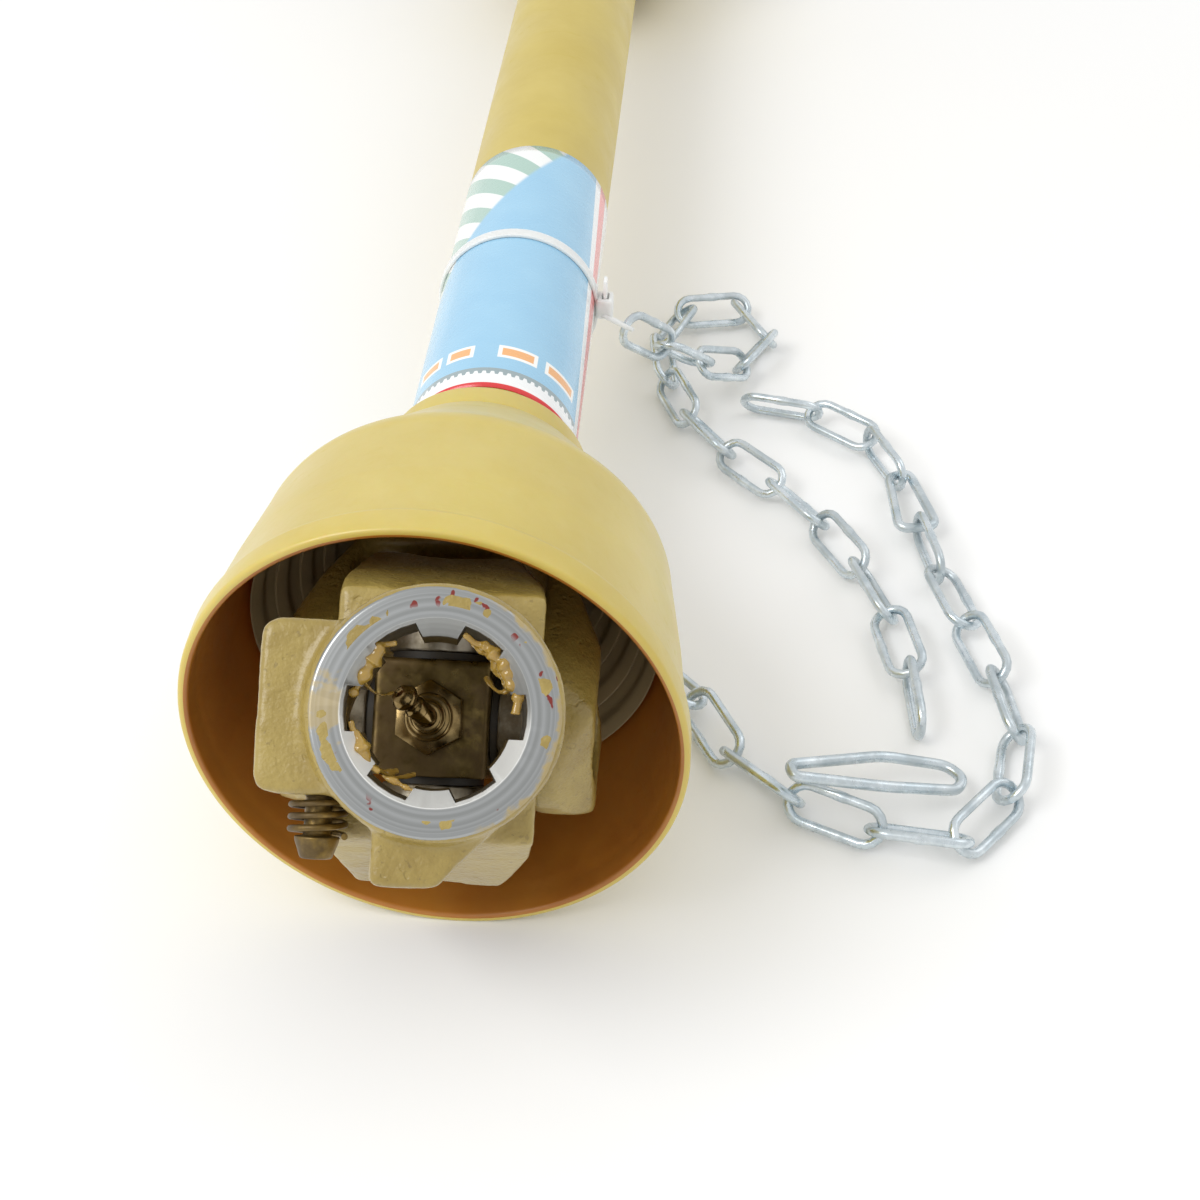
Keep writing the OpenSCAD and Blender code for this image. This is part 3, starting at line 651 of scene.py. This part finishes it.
def make_base(end, place, body, tube_radius):
    ridges = []
    for i in range(4):
        r = BASE_RADIUS - i * 4.6
        ridges += [(r, front(r) - 2.5), (r - 2.3, front(r - 2.3) - 2.5), (r - 2.5, front(r - 2.3) + 0.3),
                   (r - 4.4, front(r - 4.6) + 0.2)]
    grip = tube_radius + 0.2
    outline = [(grip, 91), (grip + 2.4, 91), (grip + 2.4, 75), (SEAT_RADIUS + 2.4, 71),
               (SEAT_RADIUS + 2.4, front(SEAT_RADIUS) + 2), (BASE_RADIUS, front(BASE_RADIUS) + 3), *ridges,
               (SEAT_RADIUS, front(SEAT_RADIUS)), (SEAT_RADIUS, 68), (grip, 70.5)]
    mesh = lathe(round_corners(outline, 0.9, 4), steps=160)
    return finish_piece(f"{end}_base_ridges", mesh, place, body, base_grey, [f"{end}_base_cone"])


make_base("near", NEAR, "guard_outer", 22.8)
make_base("far", FAR, "guard_inner", 20.5)

# %% [markdown]
# ## The yokes
# Each end has a splined yoke, a cross and an inner yoke. The CAD solids have the right size and
# holes but razor edges, so a copy is remeshed with small voxels, smoothed and made slightly lumpy,
# as a casting is. The bore is machined, so it is cut out and filled by a crisp sleeve.

# %% Cut tools for the bore
FACE, HUB_START = 66.0, 42.0
MAJOR, MINOR, SLOT = 17.475, 14.85, 8.7
PIN_X, PIN_Y = -21.8, -51.0
ON_PIN = Matrix.Translation((PIN_X, PIN_Y, 0)) @ Matrix.Rotation(math.pi / 2, 4, "X")


def plug(radius, start, end, end_radius=None, steps=96):
    """A solid round tool along the hub, from start to end, that may taper."""
    last = radius if end_radius is None else end_radius
    return lathe([(0, -start), (radius, -start), (last, -end), (0, -end)], steps, closed=False)


def spline_tool():
    """The outline of a six-spline shaft, drawn as a face and extruded through the hub."""
    half = SLOT / 2
    tool, corners = bmesh.new(), []
    for k in range(6):
        middle = math.radians(60 * k)
        inner_turn, outer_turn = math.asin(half / MINOR), math.asin(half / MAJOR)
        for turn, radius in ((-inner_turn, MINOR), (-outer_turn, MAJOR), (-outer_turn / 3, MAJOR),
                             (outer_turn / 3, MAJOR), (outer_turn, MAJOR), (inner_turn, MINOR)):
            corners.append((radius * math.cos(middle + turn), 0, radius * math.sin(middle + turn)))
        gap = math.radians(60) - 2 * inner_turn
        for step in (0.25, 0.5, 0.75):
            turn = middle + inner_turn + gap * step
            corners.append((MINOR * math.cos(turn), 0, MINOR * math.sin(turn)))
    face = tool.faces.new([tool.verts.new(c) for c in corners])
    bmesh.ops.translate(tool, vec=(0, -FACE - 5, 0), verts=tool.verts)
    long = bmesh.ops.extrude_face_region(tool, geom=[face])["geom"]
    bmesh.ops.translate(tool, vec=(0, 34, 0), verts=[g for g in long if isinstance(g, bmesh.types.BMVert)])
    bmesh.ops.recalc_face_normals(tool, faces=tool.faces)
    return tool


def pin_hole():
    """The bore that the locking pin slides in, along Z beside the spline."""
    tool = lathe([(0, -12.7), (6.6, -12.7), (6.6, 20), (0, 20)], 48, closed=False)
    return moved(tool, ON_PIN)


# %% Model the bare sleeve of a hub
def make_sleeve(end, place, body):
    outline = [(8, -HUB_START), (20.5, -HUB_START), (20.5, -64.6), (23.7, -64.6), (24.2, -65.4),
               (23.6, -FACE - 0.05), (8, -FACE - 0.05)]
    sleeve = lathe(round_corners(outline, 0.3, 2), steps=128)
    sleeve = cut(sleeve, spline_tool())
    sleeve = cut(sleeve, plug(MINOR - 0.05, FACE - 3.6, FACE + 1, 18.86))
    sleeve = cut(sleeve, pin_hole())
    sleeve = applied(sleeve, "BEVEL", width=0.22, segments=2, limit_method="ANGLE",
                     angle_limit=math.radians(35))
    steel = turned_steel(f"turned_steel_{end}", place)
    return finish_piece(f"{end}_hub_sleeve", sleeve, place, body, steel, sharp=30)


make_sleeve("near", NEAR_YOKE, "near_yoke_body")
make_sleeve("far", FAR, "far_yoke_body")

# %% Model the castings
def make_yoke(end, place, body):
    mesh = casting(f"{end}_yoke", place)
    mesh = cut(mesh, plug(20.45, HUB_START - 14, FACE + 3), solver="FAST")
    return finish_piece(f"{end}_yoke_casting", mesh, place, body, painted_cast,
                        [f"{end}_yoke"], sharp=60)


make_yoke("near", NEAR_YOKE, "near_yoke_body")
make_yoke("far", FAR, "far_yoke_body")

for end, place, body in (("near", NEAR, "shaft_outer"), ("far", FAR, "shaft_inner")):
    finish_piece(f"{end}_inner_casting", casting(f"{end}_inner_yoke", place), place, body,
                 painted_cast, [f"{end}_inner_yoke"], sharp=60)

for end, place in (("near", NEAR_CROSS), ("far", FAR)):
    finish_piece(f"{end}_cross_forging", casting(f"{end}_cross", place, 0.5, 5, 0.05), place,
                 f"{end}_cross_body", cross_steel, [f"{end}_cross"], sharp=60)

# %% [markdown]
# ## Caps, clips and nipples
# A bearing cap is a drawn cup with a shallow dish in its end, and a circlip holds it: a spring ring
# with two eyes. Both are small, but they are what the eye looks for on the ears of a joint.

# %% Bearing caps
CAP_RADIUS, CAP_OUT, CAP_DEEP = 11.9, 30.65, 16.0


def towards(across, side):
    """Turns a part made on the Y axis to one end of the X axis, or of the Z axis."""
    return Matrix.Rotation(across, 4, "Y") @ Matrix.Rotation(-math.pi / 2 + side, 4, "Z")


def make_caps(name, place, body, across):
    """Two cups on the X axis of the local frame, or on its Z axis."""
    cups = []
    for side in (0, math.pi):
        cup = turned([(0, CAP_OUT - 1.1), (6.2, CAP_OUT - 1.1), (7.0, CAP_OUT), (CAP_RADIUS, CAP_OUT),
                      (CAP_RADIUS, CAP_OUT - CAP_DEEP), (8.2, CAP_OUT - CAP_DEEP),
                      (8.2, CAP_OUT - 4), (0, CAP_OUT - 4)], 0.7)
        cups.append(moved(cup, towards(across, side)))
    return finish_piece(f"{name}_cups", joined(*cups), place, body, cap_steel, [name])


make_caps("near_yoke_caps", NEAR_YOKE, "near_yoke_body", math.pi / 2)
make_caps("near_inner_caps", NEAR, "shaft_outer", 0)
make_caps("far_yoke_caps", FAR, "far_yoke_body", math.pi / 2)
make_caps("far_inner_caps", FAR, "shaft_inner", 0)

# %% Circlips
CLIP_LOW, CLIP_HIGH = CAP_OUT + 0.05, CAP_OUT + 1.35


def make_clips(name, place, body, across):
    """Two open spring rings with pliers' eyes at their ends."""
    rings = []
    for side in (0, math.pi):
        section = round_corners([(9.6, CLIP_LOW), (12.9, CLIP_LOW), (12.9, CLIP_HIGH), (9.6, CLIP_HIGH)],
                                0.25, 2)
        ring = lathe(section, 56, angle=math.radians(318))
        bmesh.ops.holes_fill(ring, edges=ring.edges, sides=0)
        bmesh.ops.recalc_face_normals(ring, faces=ring.faces)
        parts = [moved(ring, Matrix.Rotation(math.radians(-21), 4, "Y"))]
        for turn in (-21, 21):
            eye = turned([(1.0, CLIP_LOW), (2.3, CLIP_LOW), (2.3, CLIP_HIGH), (1.0, CLIP_HIGH),
                          (1.0, CLIP_LOW)], 0.2, 20, 1)
            bmesh.ops.translate(eye, vec=(9.2, 0, 0), verts=eye.verts)
            parts.append(moved(eye, Matrix.Rotation(math.radians(turn), 4, "Y")))
        rings.append(moved(joined(*parts), towards(across, side)))
    return finish_piece(f"{name}_rings", joined(*rings), place, body, clip_steel, [name])


make_clips("near_yoke_circlips", NEAR_YOKE, "near_yoke_body", math.pi / 2)
make_clips("near_inner_circlips", NEAR, "shaft_outer", 0)
make_clips("far_yoke_circlips", FAR, "far_yoke_body", math.pi / 2)
make_clips("far_inner_circlips", FAR, "shaft_inner", 0)

# %% Grease nipples
def make_nipple(end, place):
    """A hexagon base, a round collar and a bent neck with a ball head."""
    base = bmesh.new()
    bmesh.ops.create_cone(base, cap_ends=True, segments=6, radius1=8.4, radius2=8.4, depth=3)
    bmesh.ops.bevel(base, geom=base.edges[:], offset=0.35, segments=2, profile=0.5, affect="EDGES",
                    material=-1)
    moved(base, Matrix.Translation((0, -14.4, 0)) @ Matrix.Rotation(math.pi / 2, 4, "X"))
    collar = turned([(0, -15.5), (5.6, -15.5), (5.2, -17.2), (3.6, -17.4), (3.4, -18.8), (0, -18.8)],
                    0.6, 40)
    lean = Vector((-0.52, -0.70, 0.49)).normalized()
    root, knee = Vector((0, -17.8, 0)), Vector((0, -19.4, 0))
    bend = [root.lerp(knee, t) * (1 - t) + knee.lerp(knee + lean * 2.4, t) * t
            for t in (0, 0.25, 0.5, 0.75, 1)]
    neck = wire(bend, 2.5, sides=6)
    head = turned([(0, 0), (2.5, 0), (2.5, -2.4), (1.9, -3.2), (2.2, -4.0), (3.0, -5.1), (3.05, -6.2),
                   (2.2, -7.4), (1.1, -7.8), (1.0, -7.4), (0, -7.2)], 0.5, 40)
    moved(head, Vector((0, -1, 0)).rotation_difference(lean).to_matrix().to_4x4())
    moved(head, Matrix.Translation(knee + lean * 2.0))
    return finish_piece(f"{end}_nipple_fitting", joined(base, collar, neck, head), place,
                        f"{end}_cross_body", nipple_metal, [f"{end}_grease_nipple"])


make_nipple("near", NEAR_CROSS)
make_nipple("far", FAR)

# %% [markdown]
# ## The locking pin
# Pressing the pin moves its scallop over the shaft's groove and frees the yoke. A short coil spring
# pushes it back. The spring is one helix of wire.

# %% Pins, springs and plugs
COILS, PER_COIL, COIL_RADIUS, COIL_LOW, COIL_HIGH = 3.2, 24, 5.3, -24.9, -17.4


def make_pin(end, place):
    pin = turned([(0, 9), (6.5, 9), (6.5, -12.5), (4, -12.5), (4, -17), (2.7, -17), (2.7, -24.9),
                  (4.5, -25.0), (4.3, -26), (3.1, -29.4), (0, -29.4)], 0.6, 48)
    moved(pin, ON_PIN)
    pin = cut(pin, moved(plug(17.675, 40, 62), Matrix.Translation((0, 0, -5))))
    finish_piece(f"{end}_pin_turned", pin, place, f"{end}_pin_body", pin_steel,
                 [f"{end}_push_pin"])
    steps = int(COILS * PER_COIL)
    helix = []
    for k in range(steps + 1):
        turn = 2 * math.pi * k / PER_COIL
        helix.append((PIN_X + COIL_RADIUS * math.cos(turn), PIN_Y + COIL_RADIUS * math.sin(turn),
                      COIL_LOW + (COIL_HIGH - COIL_LOW) * k / steps))
    spring = finish_piece(f"{end}_spring_coil", wire(helix, 0.68, sides=3), place, f"{end}_yoke_body",
                          pin_steel, [f"{end}_pin_spring"])
    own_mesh(spring)
    cover = moved(turned([(0, 14.6), (6.4, 14.6), (6.4, 16.6), (5.6, 17.0), (0, 17.2)], 0.4, 40), ON_PIN)
    finish_piece(f"{end}_pin_cover", cover, place, f"{end}_yoke_body", painted_cast,
                 [f"{end}_pin_plug"])


make_pin("near", NEAR_YOKE)
make_pin("far", FAR)

# %% [markdown]
# ## The printed sheet
# A plastic film is glued round the tube. Its print is generic: a blue field, a white margin with a
# red edge line, a row of teeth, and a few plain bars where words would be. The sheet carries its
# own map in millimetres, so the print follows the surface.

# %% Print of the sheet
def print_material():
    material, tree, shader, _ = new_material("label_film")
    uv = put(tree, "UVMap", uv_map="millimetres").outputs[0]
    axes = put(tree, "SeparateXYZ", {0: uv}).outputs
    across, along = axes[0], axes[1]
    slanted = calc(tree, "ADD", across, times(tree, along, 0.06))

    def past(value, edge, soft=0.12):
        return between(tree, value, edge - soft, edge + soft)

    def short_of(value, edge, soft=0.12):
        return calc(tree, "SUBTRACT", 1.0, past(value, edge, soft))

    def band(value, low, high):
        return times(tree, past(value, low), short_of(value, high))

    colour = blend(tree, past(along, 2.0), shade(222, 56, 58), shade(240, 242, 242))
    field = times(tree, past(along, 8.6), short_of(slanted, 31.0))
    tone = blend(tree, spots(tree, uv, 0.05, 3.0), shade(140, 190, 222), shade(164, 208, 232))
    colour = blend(tree, field, colour, tone)
    tooth = calc(tree, "PINGPONG", across, 1.1)
    tooth = calc(tree, "ADD", between(tree, tooth, 0.35, 0.75, 0.0, 1.2), 6.0)
    teeth = times(tree, calc(tree, "GREATER_THAN", along, tooth), calc(tree, "LESS_THAN", along, 8.7))
    colour = blend(tree, times(tree, teeth, short_of(slanted, 31.0)), colour, shade(150, 166, 170))
    for shift, wide in ((-24.0, 9.0), (-13.0, 8.0), (1.5, 11.0), (15.0, 12.0)):
        inside = times(tree, band(across, shift, shift + wide), band(along, 14.0, 19.5))
        colour = blend(tree, inside, colour, shade(246, 246, 242))
        core = times(tree, band(across, shift + 1.1, shift + wide - 1.1), band(along, 15.1, 18.4))
        colour = blend(tree, core, colour, shade(238, 176, 116))
    stripe = calc(tree, "ADD", along, across)
    corner = short_of(calc(tree, "SUBTRACT", across, times(tree, along, 0.55)), -62.0, 1.0)
    stripes = blend(tree, past(calc(tree, "PINGPONG", stripe, 9.0), 4.5), shade(238, 240, 238),
                    shade(168, 198, 186))
    colour = blend(tree, corner, colour, stripes)
    colour = blend(tree, band(slanted, 34.0, 38.5), colour, shade(236, 150, 150))
    roughness = between(tree, spots(tree, uv, 0.4, 3.0), 0.3, 0.7, 0.2, 0.32)
    feed_shader(tree, shader, colour, roughness, spots(tree, uv, 0.25, 2.0), bump=0.2, distance=0.0003)
    set_shader(shader, Specular_IOR_Level=0.5, Coat_Weight=0.4, Coat_Roughness=0.12)
    return material


# %% Roll the sheet
SHEET_RADIUS, SHEET_START, SHEET_END = 22.86, 98.0, 230.0


def make_sheet():
    wrap = math.radians(250)
    steps = [SHEET_START + k * 4 for k in range(int((SHEET_END - SHEET_START) / 4) + 1)]
    sheet = lathe([(SHEET_RADIUS, s) for s in steps], 110, closed=False, angle=wrap)
    moved(sheet, Matrix.Rotation(-math.pi / 2 - wrap / 2, 4, "Y"))
    turns = [math.degrees(math.atan2(v.co.x, v.co.z)) for v in sheet.verts]
    print("sheet turns from", round(min(turns)), "to", round(max(turns)))
    mapped = sheet.loops.layers.uv.new("millimetres")
    for face in sheet.faces:
        for corner in face.loops:
            co = corner.vert.co
            corner[mapped].uv = (math.atan2(co.x, co.z) * SHEET_RADIUS, co.y - SHEET_START)
        if face.normal.dot(Vector((face.calc_center_median().x, 0, face.calc_center_median().z))) < 0:
            face.normal_flip()
    piece = finish_piece("label_film_sheet", sheet, NEAR, "guard_outer", print_material(),
                         ["label_sheet"])
    thick = piece.modifiers.new("film", "SOLIDIFY")
    thick.thickness, thick.offset = 0.22 * MM, 1.0
    return piece


make_sheet()

# %% Cable tie
def make_tie():
    band = lathe(round_corners([(23.15, 173.2), (24.2, 173.2), (24.2, 176.8), (23.15, 176.8)], 0.35, 3), 128)
    head = block((5.0, 6.0, 6.5), (26.0, 175, 0.2), 0.8)
    slot = block((2.2, 3.6, 8.0), (26.2, 175, 0.2), 0.2, 1)
    head = cut(head, slot)
    tail = block((1.1, 3.4, 9.5), (26.2, 175, 4.6), 0.3, 2)
    return finish_piece("cable_tie_strap", joined(band, head, tail), NEAR, "guard_outer",
                        tie_nylon, ["cable_tie"])


make_tie()

# %% [markdown]
# ## The safety chains
# Two chains of welded, zinc-plated links keep the guard from turning. Each link is a wire bent to a
# racetrack with a small weld on one side, made by turning a circle round both ends, and every link
# is laid on the chain's route a quarter turn from the one before. The routes are those of the CAD.

# %% One link
WIRE, LINK_LONG, LINK_WIDE, PITCH, LIE = 1.3, 28.0, 12.4, 22.3, 6.3


def loop_mesh(straight, bend, radius, weld=1.0):
    """A racetrack of round wire, long side along X, that swells by weld on one side."""
    track = []
    for side in (1, -1):
        for k in range(9):
            turn = -math.pi / 2 + math.pi * k / 8
            track.append((side * (straight + bend * math.cos(turn)), side * bend * math.sin(turn), 0, 1))
        if side == 1:
            for k, swell in ((-0.3, 1.0), (-0.12, weld), (0.12, weld), (0.3, 1.0)):
                track.append((-straight * k, bend, 0, swell))
    return wire(track, radius, closed=True, sides=3)


def link_mesh():
    return loop_mesh((LINK_LONG - LINK_WIDE) / 2, (LINK_WIDE - 2 * WIRE) / 2, WIRE, 1.14)


# %% Lay the links on a route
def length_of(route):
    return sum((b - a).length for a, b in zip(route, route[1:]))


def point_at(route, distance):
    for a, b in zip(route, route[1:]):
        if distance <= (b - a).length:
            return a + (b - a) * (distance / (b - a).length)
        distance -= (b - a).length
    return route[-1]


def lying_roll(i):
    return 45 + 90 * i + 8 * math.sin(math.radians(100 * i))


def laid(a, b, roll):
    """A matrix that lays a loop between two points, rolled about its length."""
    way = (b - a).normalized()
    side = Vector((0, 0, 1)).cross(way).normalized()
    lie = Matrix((way, side, way.cross(side))).transposed().to_4x4()
    return Matrix.Translation((a + b) / 2) @ lie @ Matrix.Rotation(math.radians(roll), 4, "X")


def lifted(points):
    """Points above the floor, as points in the near joint's frame."""
    return [Vector((x, y, z - near_joint.z / MM)) for x, y, z in points]


def chain_links(points, first_roll, last_roll):
    """All links of one chain, in the near joint's frame."""
    route = lifted(points)
    count = int(length_of(route) // PITCH)
    links = []
    for i in range(count):
        a, b = point_at(route, i * PITCH), point_at(route, (i + 1) * PITCH)
        roll = {0: first_roll, count - 1: last_roll}.get(i)
        if roll is None:
            roll = lying_roll(i) + (0 if i not in (1, count - 2) else 15 if i % 2 else -15)
        links.append(moved(link_mesh(), laid(a, b, roll)))
    return links


# %% Routes of the chains
chain_1_route = [
    (27.7, 74, 24.6), (40, 76, 10), (56, 67, LIE), (63, 48, LIE), (74, 34, LIE), (86, 26, LIE),
    (100, 20, LIE), (113, 15, LIE), (126, 15, LIE), (137, 23, LIE), (143, 38, LIE), (145, 56, LIE),
    (142, 74, LIE), (137, 91, LIE), (132, 107, LIE), (128, 122, LIE), (124, 142, LIE)]
chain_1_tail = [(120, 163, LIE), (114, 180, LIE), (104, 192, LIE), (88, 199, LIE), (62, 202, LIE)]
chain_2_route = [
    (33, 180, 47), (45, 193, 32), (58, 207, 16), (71, 220, 8), (79, 234, LIE), (77, 250, LIE),
    (66, 260, LIE), (52, 257, LIE), (43, 245, LIE), (41, 222, LIE), (51, 194, LIE), (66, 172, LIE),
    (80, 158, LIE), (92, 143, LIE), (102, 127, LIE), (110, 109, LIE), (115, 91, LIE),
    (118, 73, LIE), (119, 55, LIE), (118, 36, LIE)]
first = chain_links(chain_1_route, 90, 90) + chain_links(chain_1_tail, 90, 60)
second = chain_links(chain_2_route, 90, 90)
print("links", len(first), len(second))
for chain, links in (("safety_chain_1", first), ("safety_chain_2", second)):
    finish_piece(f"{chain}_links", joined(*links), NEAR, "guard_outer", zinc, [chain],
                 sharp=80)

# %% Nylon loop that ties the second chain to the strap
def make_tie_loop():
    start, onward = lifted(chain_2_route[:2])
    way = (onward - start).normalized()
    inside, outside = start - way * 1.55, start - way * 11.55
    loop = moved(loop_mesh(5.0, 2.2, 0.75), laid(outside, inside, 0))
    return finish_piece("cable_tie_loop", loop, NEAR, "guard_outer", tie_nylon)


make_tie_loop()

# %% Wire hooks
def make_hook(chain, points):
    bent = round_corners(lifted(points), 4.0, 6)
    return finish_piece(f"{chain}_clip", wire(bent, 1.5, closed=True, sides=4), NEAR, "guard_outer",
                        zinc, [f"{chain}_hook"], sharp=80)


make_hook("safety_chain_1", [(116.3, 163.4, LIE), (122.9, 165.8, LIE), (130, 140.3, LIE),
                             (118.3, 137.9, LIE)])
make_hook("safety_chain_2", [(125, 41.2, 6.3), (129, 37, 6.3), (127, 32, 7), (108, 28, 11.5), (84, 25, 17),
                             (83, 29, 17), (108, 41, 9)])

# %% [markdown]
# ## Grease
# The joint has just been greased: strings of amber grease hang between the bore and the cross. A
# few thick and thin wires with a clear, tinted material give the strings.

# %% Strings of grease
def grease_arc(start, end, radius, depth, thick, count=26):
    """A lumpy string of grease on the bore's wall, from one angle to another in degrees."""
    points = []
    for k in range(count + 1):
        t = k / count
        turn = math.radians(start + (end - start) * t)
        reach = radius + 1.1 * noise.noise((turn * 5, depth, 1))
        swell = math.sin(math.pi * min(max(t, 0.06), 0.94))
        lump = max(0.35, swell + 0.9 * noise.noise((turn * 9, depth, 7)))
        along_bore = -depth + 1.3 * noise.noise((turn * 4, depth, 3))
        points.append((reach * math.cos(turn), along_bore, reach * math.sin(turn), thick * lump))
    return wire(points, 1.0, sides=5)


def grease_string(start, end, thick, count=18):
    """A thin thread that sags between two points."""
    start, end, points = Vector(start), Vector(end), []
    for k in range(count + 1):
        t = k / count
        place = start.lerp(end, t) + Vector((0, 0.8, -1.6)) * math.sin(math.pi * t)
        lump = 0.55 + 0.45 * abs(math.cos(math.pi * t)) + 0.3 * noise.noise((t * 7, start.x, start.z))
        points.append((*place, thick * lump))
    return wire(points, 1.0, sides=5)


def make_grease():
    blobs = [grease_arc(74, 2, 15.8, 62.6, 1.9), grease_arc(66, 20, 14.9, 60.8, 1.3),
             grease_arc(172, 122, 15.8, 62.8, 1.7), grease_arc(188, 230, 15.6, 62.8, 1.8),
             grease_arc(232, 258, 15.4, 61.5, 0.9),
             grease_string((-13.6, -62, -8.2), (-7.0, -52, -11.5), 0.8),
             grease_string((-12.2, -61, -10.0), (-3.5, -50, -12.0), 0.6),
             grease_string((-14.6, -61, 6.0), (-9.0, -46, 4.0), 0.5),
             grease_string((14.2, -61, 5.5), (9.5, -47, 8.0), 0.6)]
    whole = smoothed(applied(joined(*blobs), "REMESH", mode="VOXEL", voxel_size=0.22), 4)
    return finish_piece("near_grease_strings", whole, NEAR_YOKE, "near_yoke_body",
                        grease, sharp=80)


make_grease()

# %% [markdown]
# ## Pieces that keep their CAD shape
# Tubes, seals, roll pins, screws and the guard's bearings already have their true shape, so they
# only change their material.

# %% Give the CAD nodes their materials
kept = {
    "outer_guard_tube": tube_yellow, "inner_guard_tube": tube_yellow,
    "outer_profile_tube": tube_steel, "inner_profile_tube": tube_steel,
    "near_guard_bearing": nylon, "far_guard_bearing": nylon,
    "near_cone_screws": zinc_screw, "far_cone_screws": zinc_screw,
    "near_cross_seals": rubber, "far_cross_seals": rubber,
    "near_roll_pin": clip_steel, "far_roll_pin": clip_steel,
}
for node, material in kept.items():
    for entry in frame["nodes"][node].material_slots:
        entry.material = material
print("kept nodes", len(kept))

# %% [markdown]
# ## Floor, light and camera
# A pale floor and a white surround give the soft light of a studio table. A large light from the
# upper left models the shapes, and the camera looks down the driveline from its near end.

# %% Floor
floor_mesh = bmesh.new()
bmesh.ops.create_grid(floor_mesh, x_segments=1, y_segments=1, size=4.0)
floor_data = bpy.data.meshes.new("floor")
floor_mesh.to_mesh(floor_data)
floor_mesh.free()
floor = bpy.data.objects.new("floor", floor_data)
bpy.context.scene.collection.objects.link(floor)
floor_paint, tree, floor_shader, where = new_material("floor_paint")
colour = blend(tree, spots(tree, where, 3.0), shade(244, 244, 243), shade(248, 248, 247))
feed_shader(tree, floor_shader, colour)
set_shader(floor_shader, Roughness=0.7, Specular_IOR_Level=0.2)
floor_data.materials.append(floor_paint)

# %% Lights
def softbox(name, place, aim, size, power):
    light = bpy.data.lights.new(name, "AREA")
    light.shape, light.size, light.energy = "DISK", size, power
    lamp = bpy.data.objects.new(name, light)
    bpy.context.scene.collection.objects.link(lamp)
    lamp.location = place
    lamp.rotation_euler = (Vector(aim) - Vector(place)).to_track_quat("-Z", "Y").to_euler()


softbox("key", (-0.75, -0.75, 1.1), (0, -0.25, 0.05), 0.8, 9.0)
softbox("fill", (0.9, 0.3, 1.0), (0, -0.1, 0.05), 1.0, 1.5)
world = bpy.data.worlds.new("studio")
world.use_nodes = True
world.node_tree.nodes["Background"].inputs["Color"].default_value = (1, 1, 1, 1)
world.node_tree.nodes["Background"].inputs["Strength"].default_value = 0.85
bpy.context.scene.world = world
bpy.context.scene.view_settings.view_transform = "Standard"

# %% Camera
camera_data = bpy.data.cameras.new("camera")
camera_data.lens, camera_data.sensor_width = 50.94, 36.0
camera_data.shift_y = 0.0267
camera_data.clip_start = 0.01
camera = bpy.data.objects.new("camera", camera_data)
bpy.context.scene.collection.objects.link(camera)
camera.location = near_joint + Vector((0.0554, -0.265, 0.2791))
camera.rotation_euler = Vector((-0.051, 0.727, -0.6845)).to_track_quat("-Z", "Y").to_euler()
bpy.context.scene.camera = camera
print("camera at", tuple(round(v, 4) for v in camera.location))
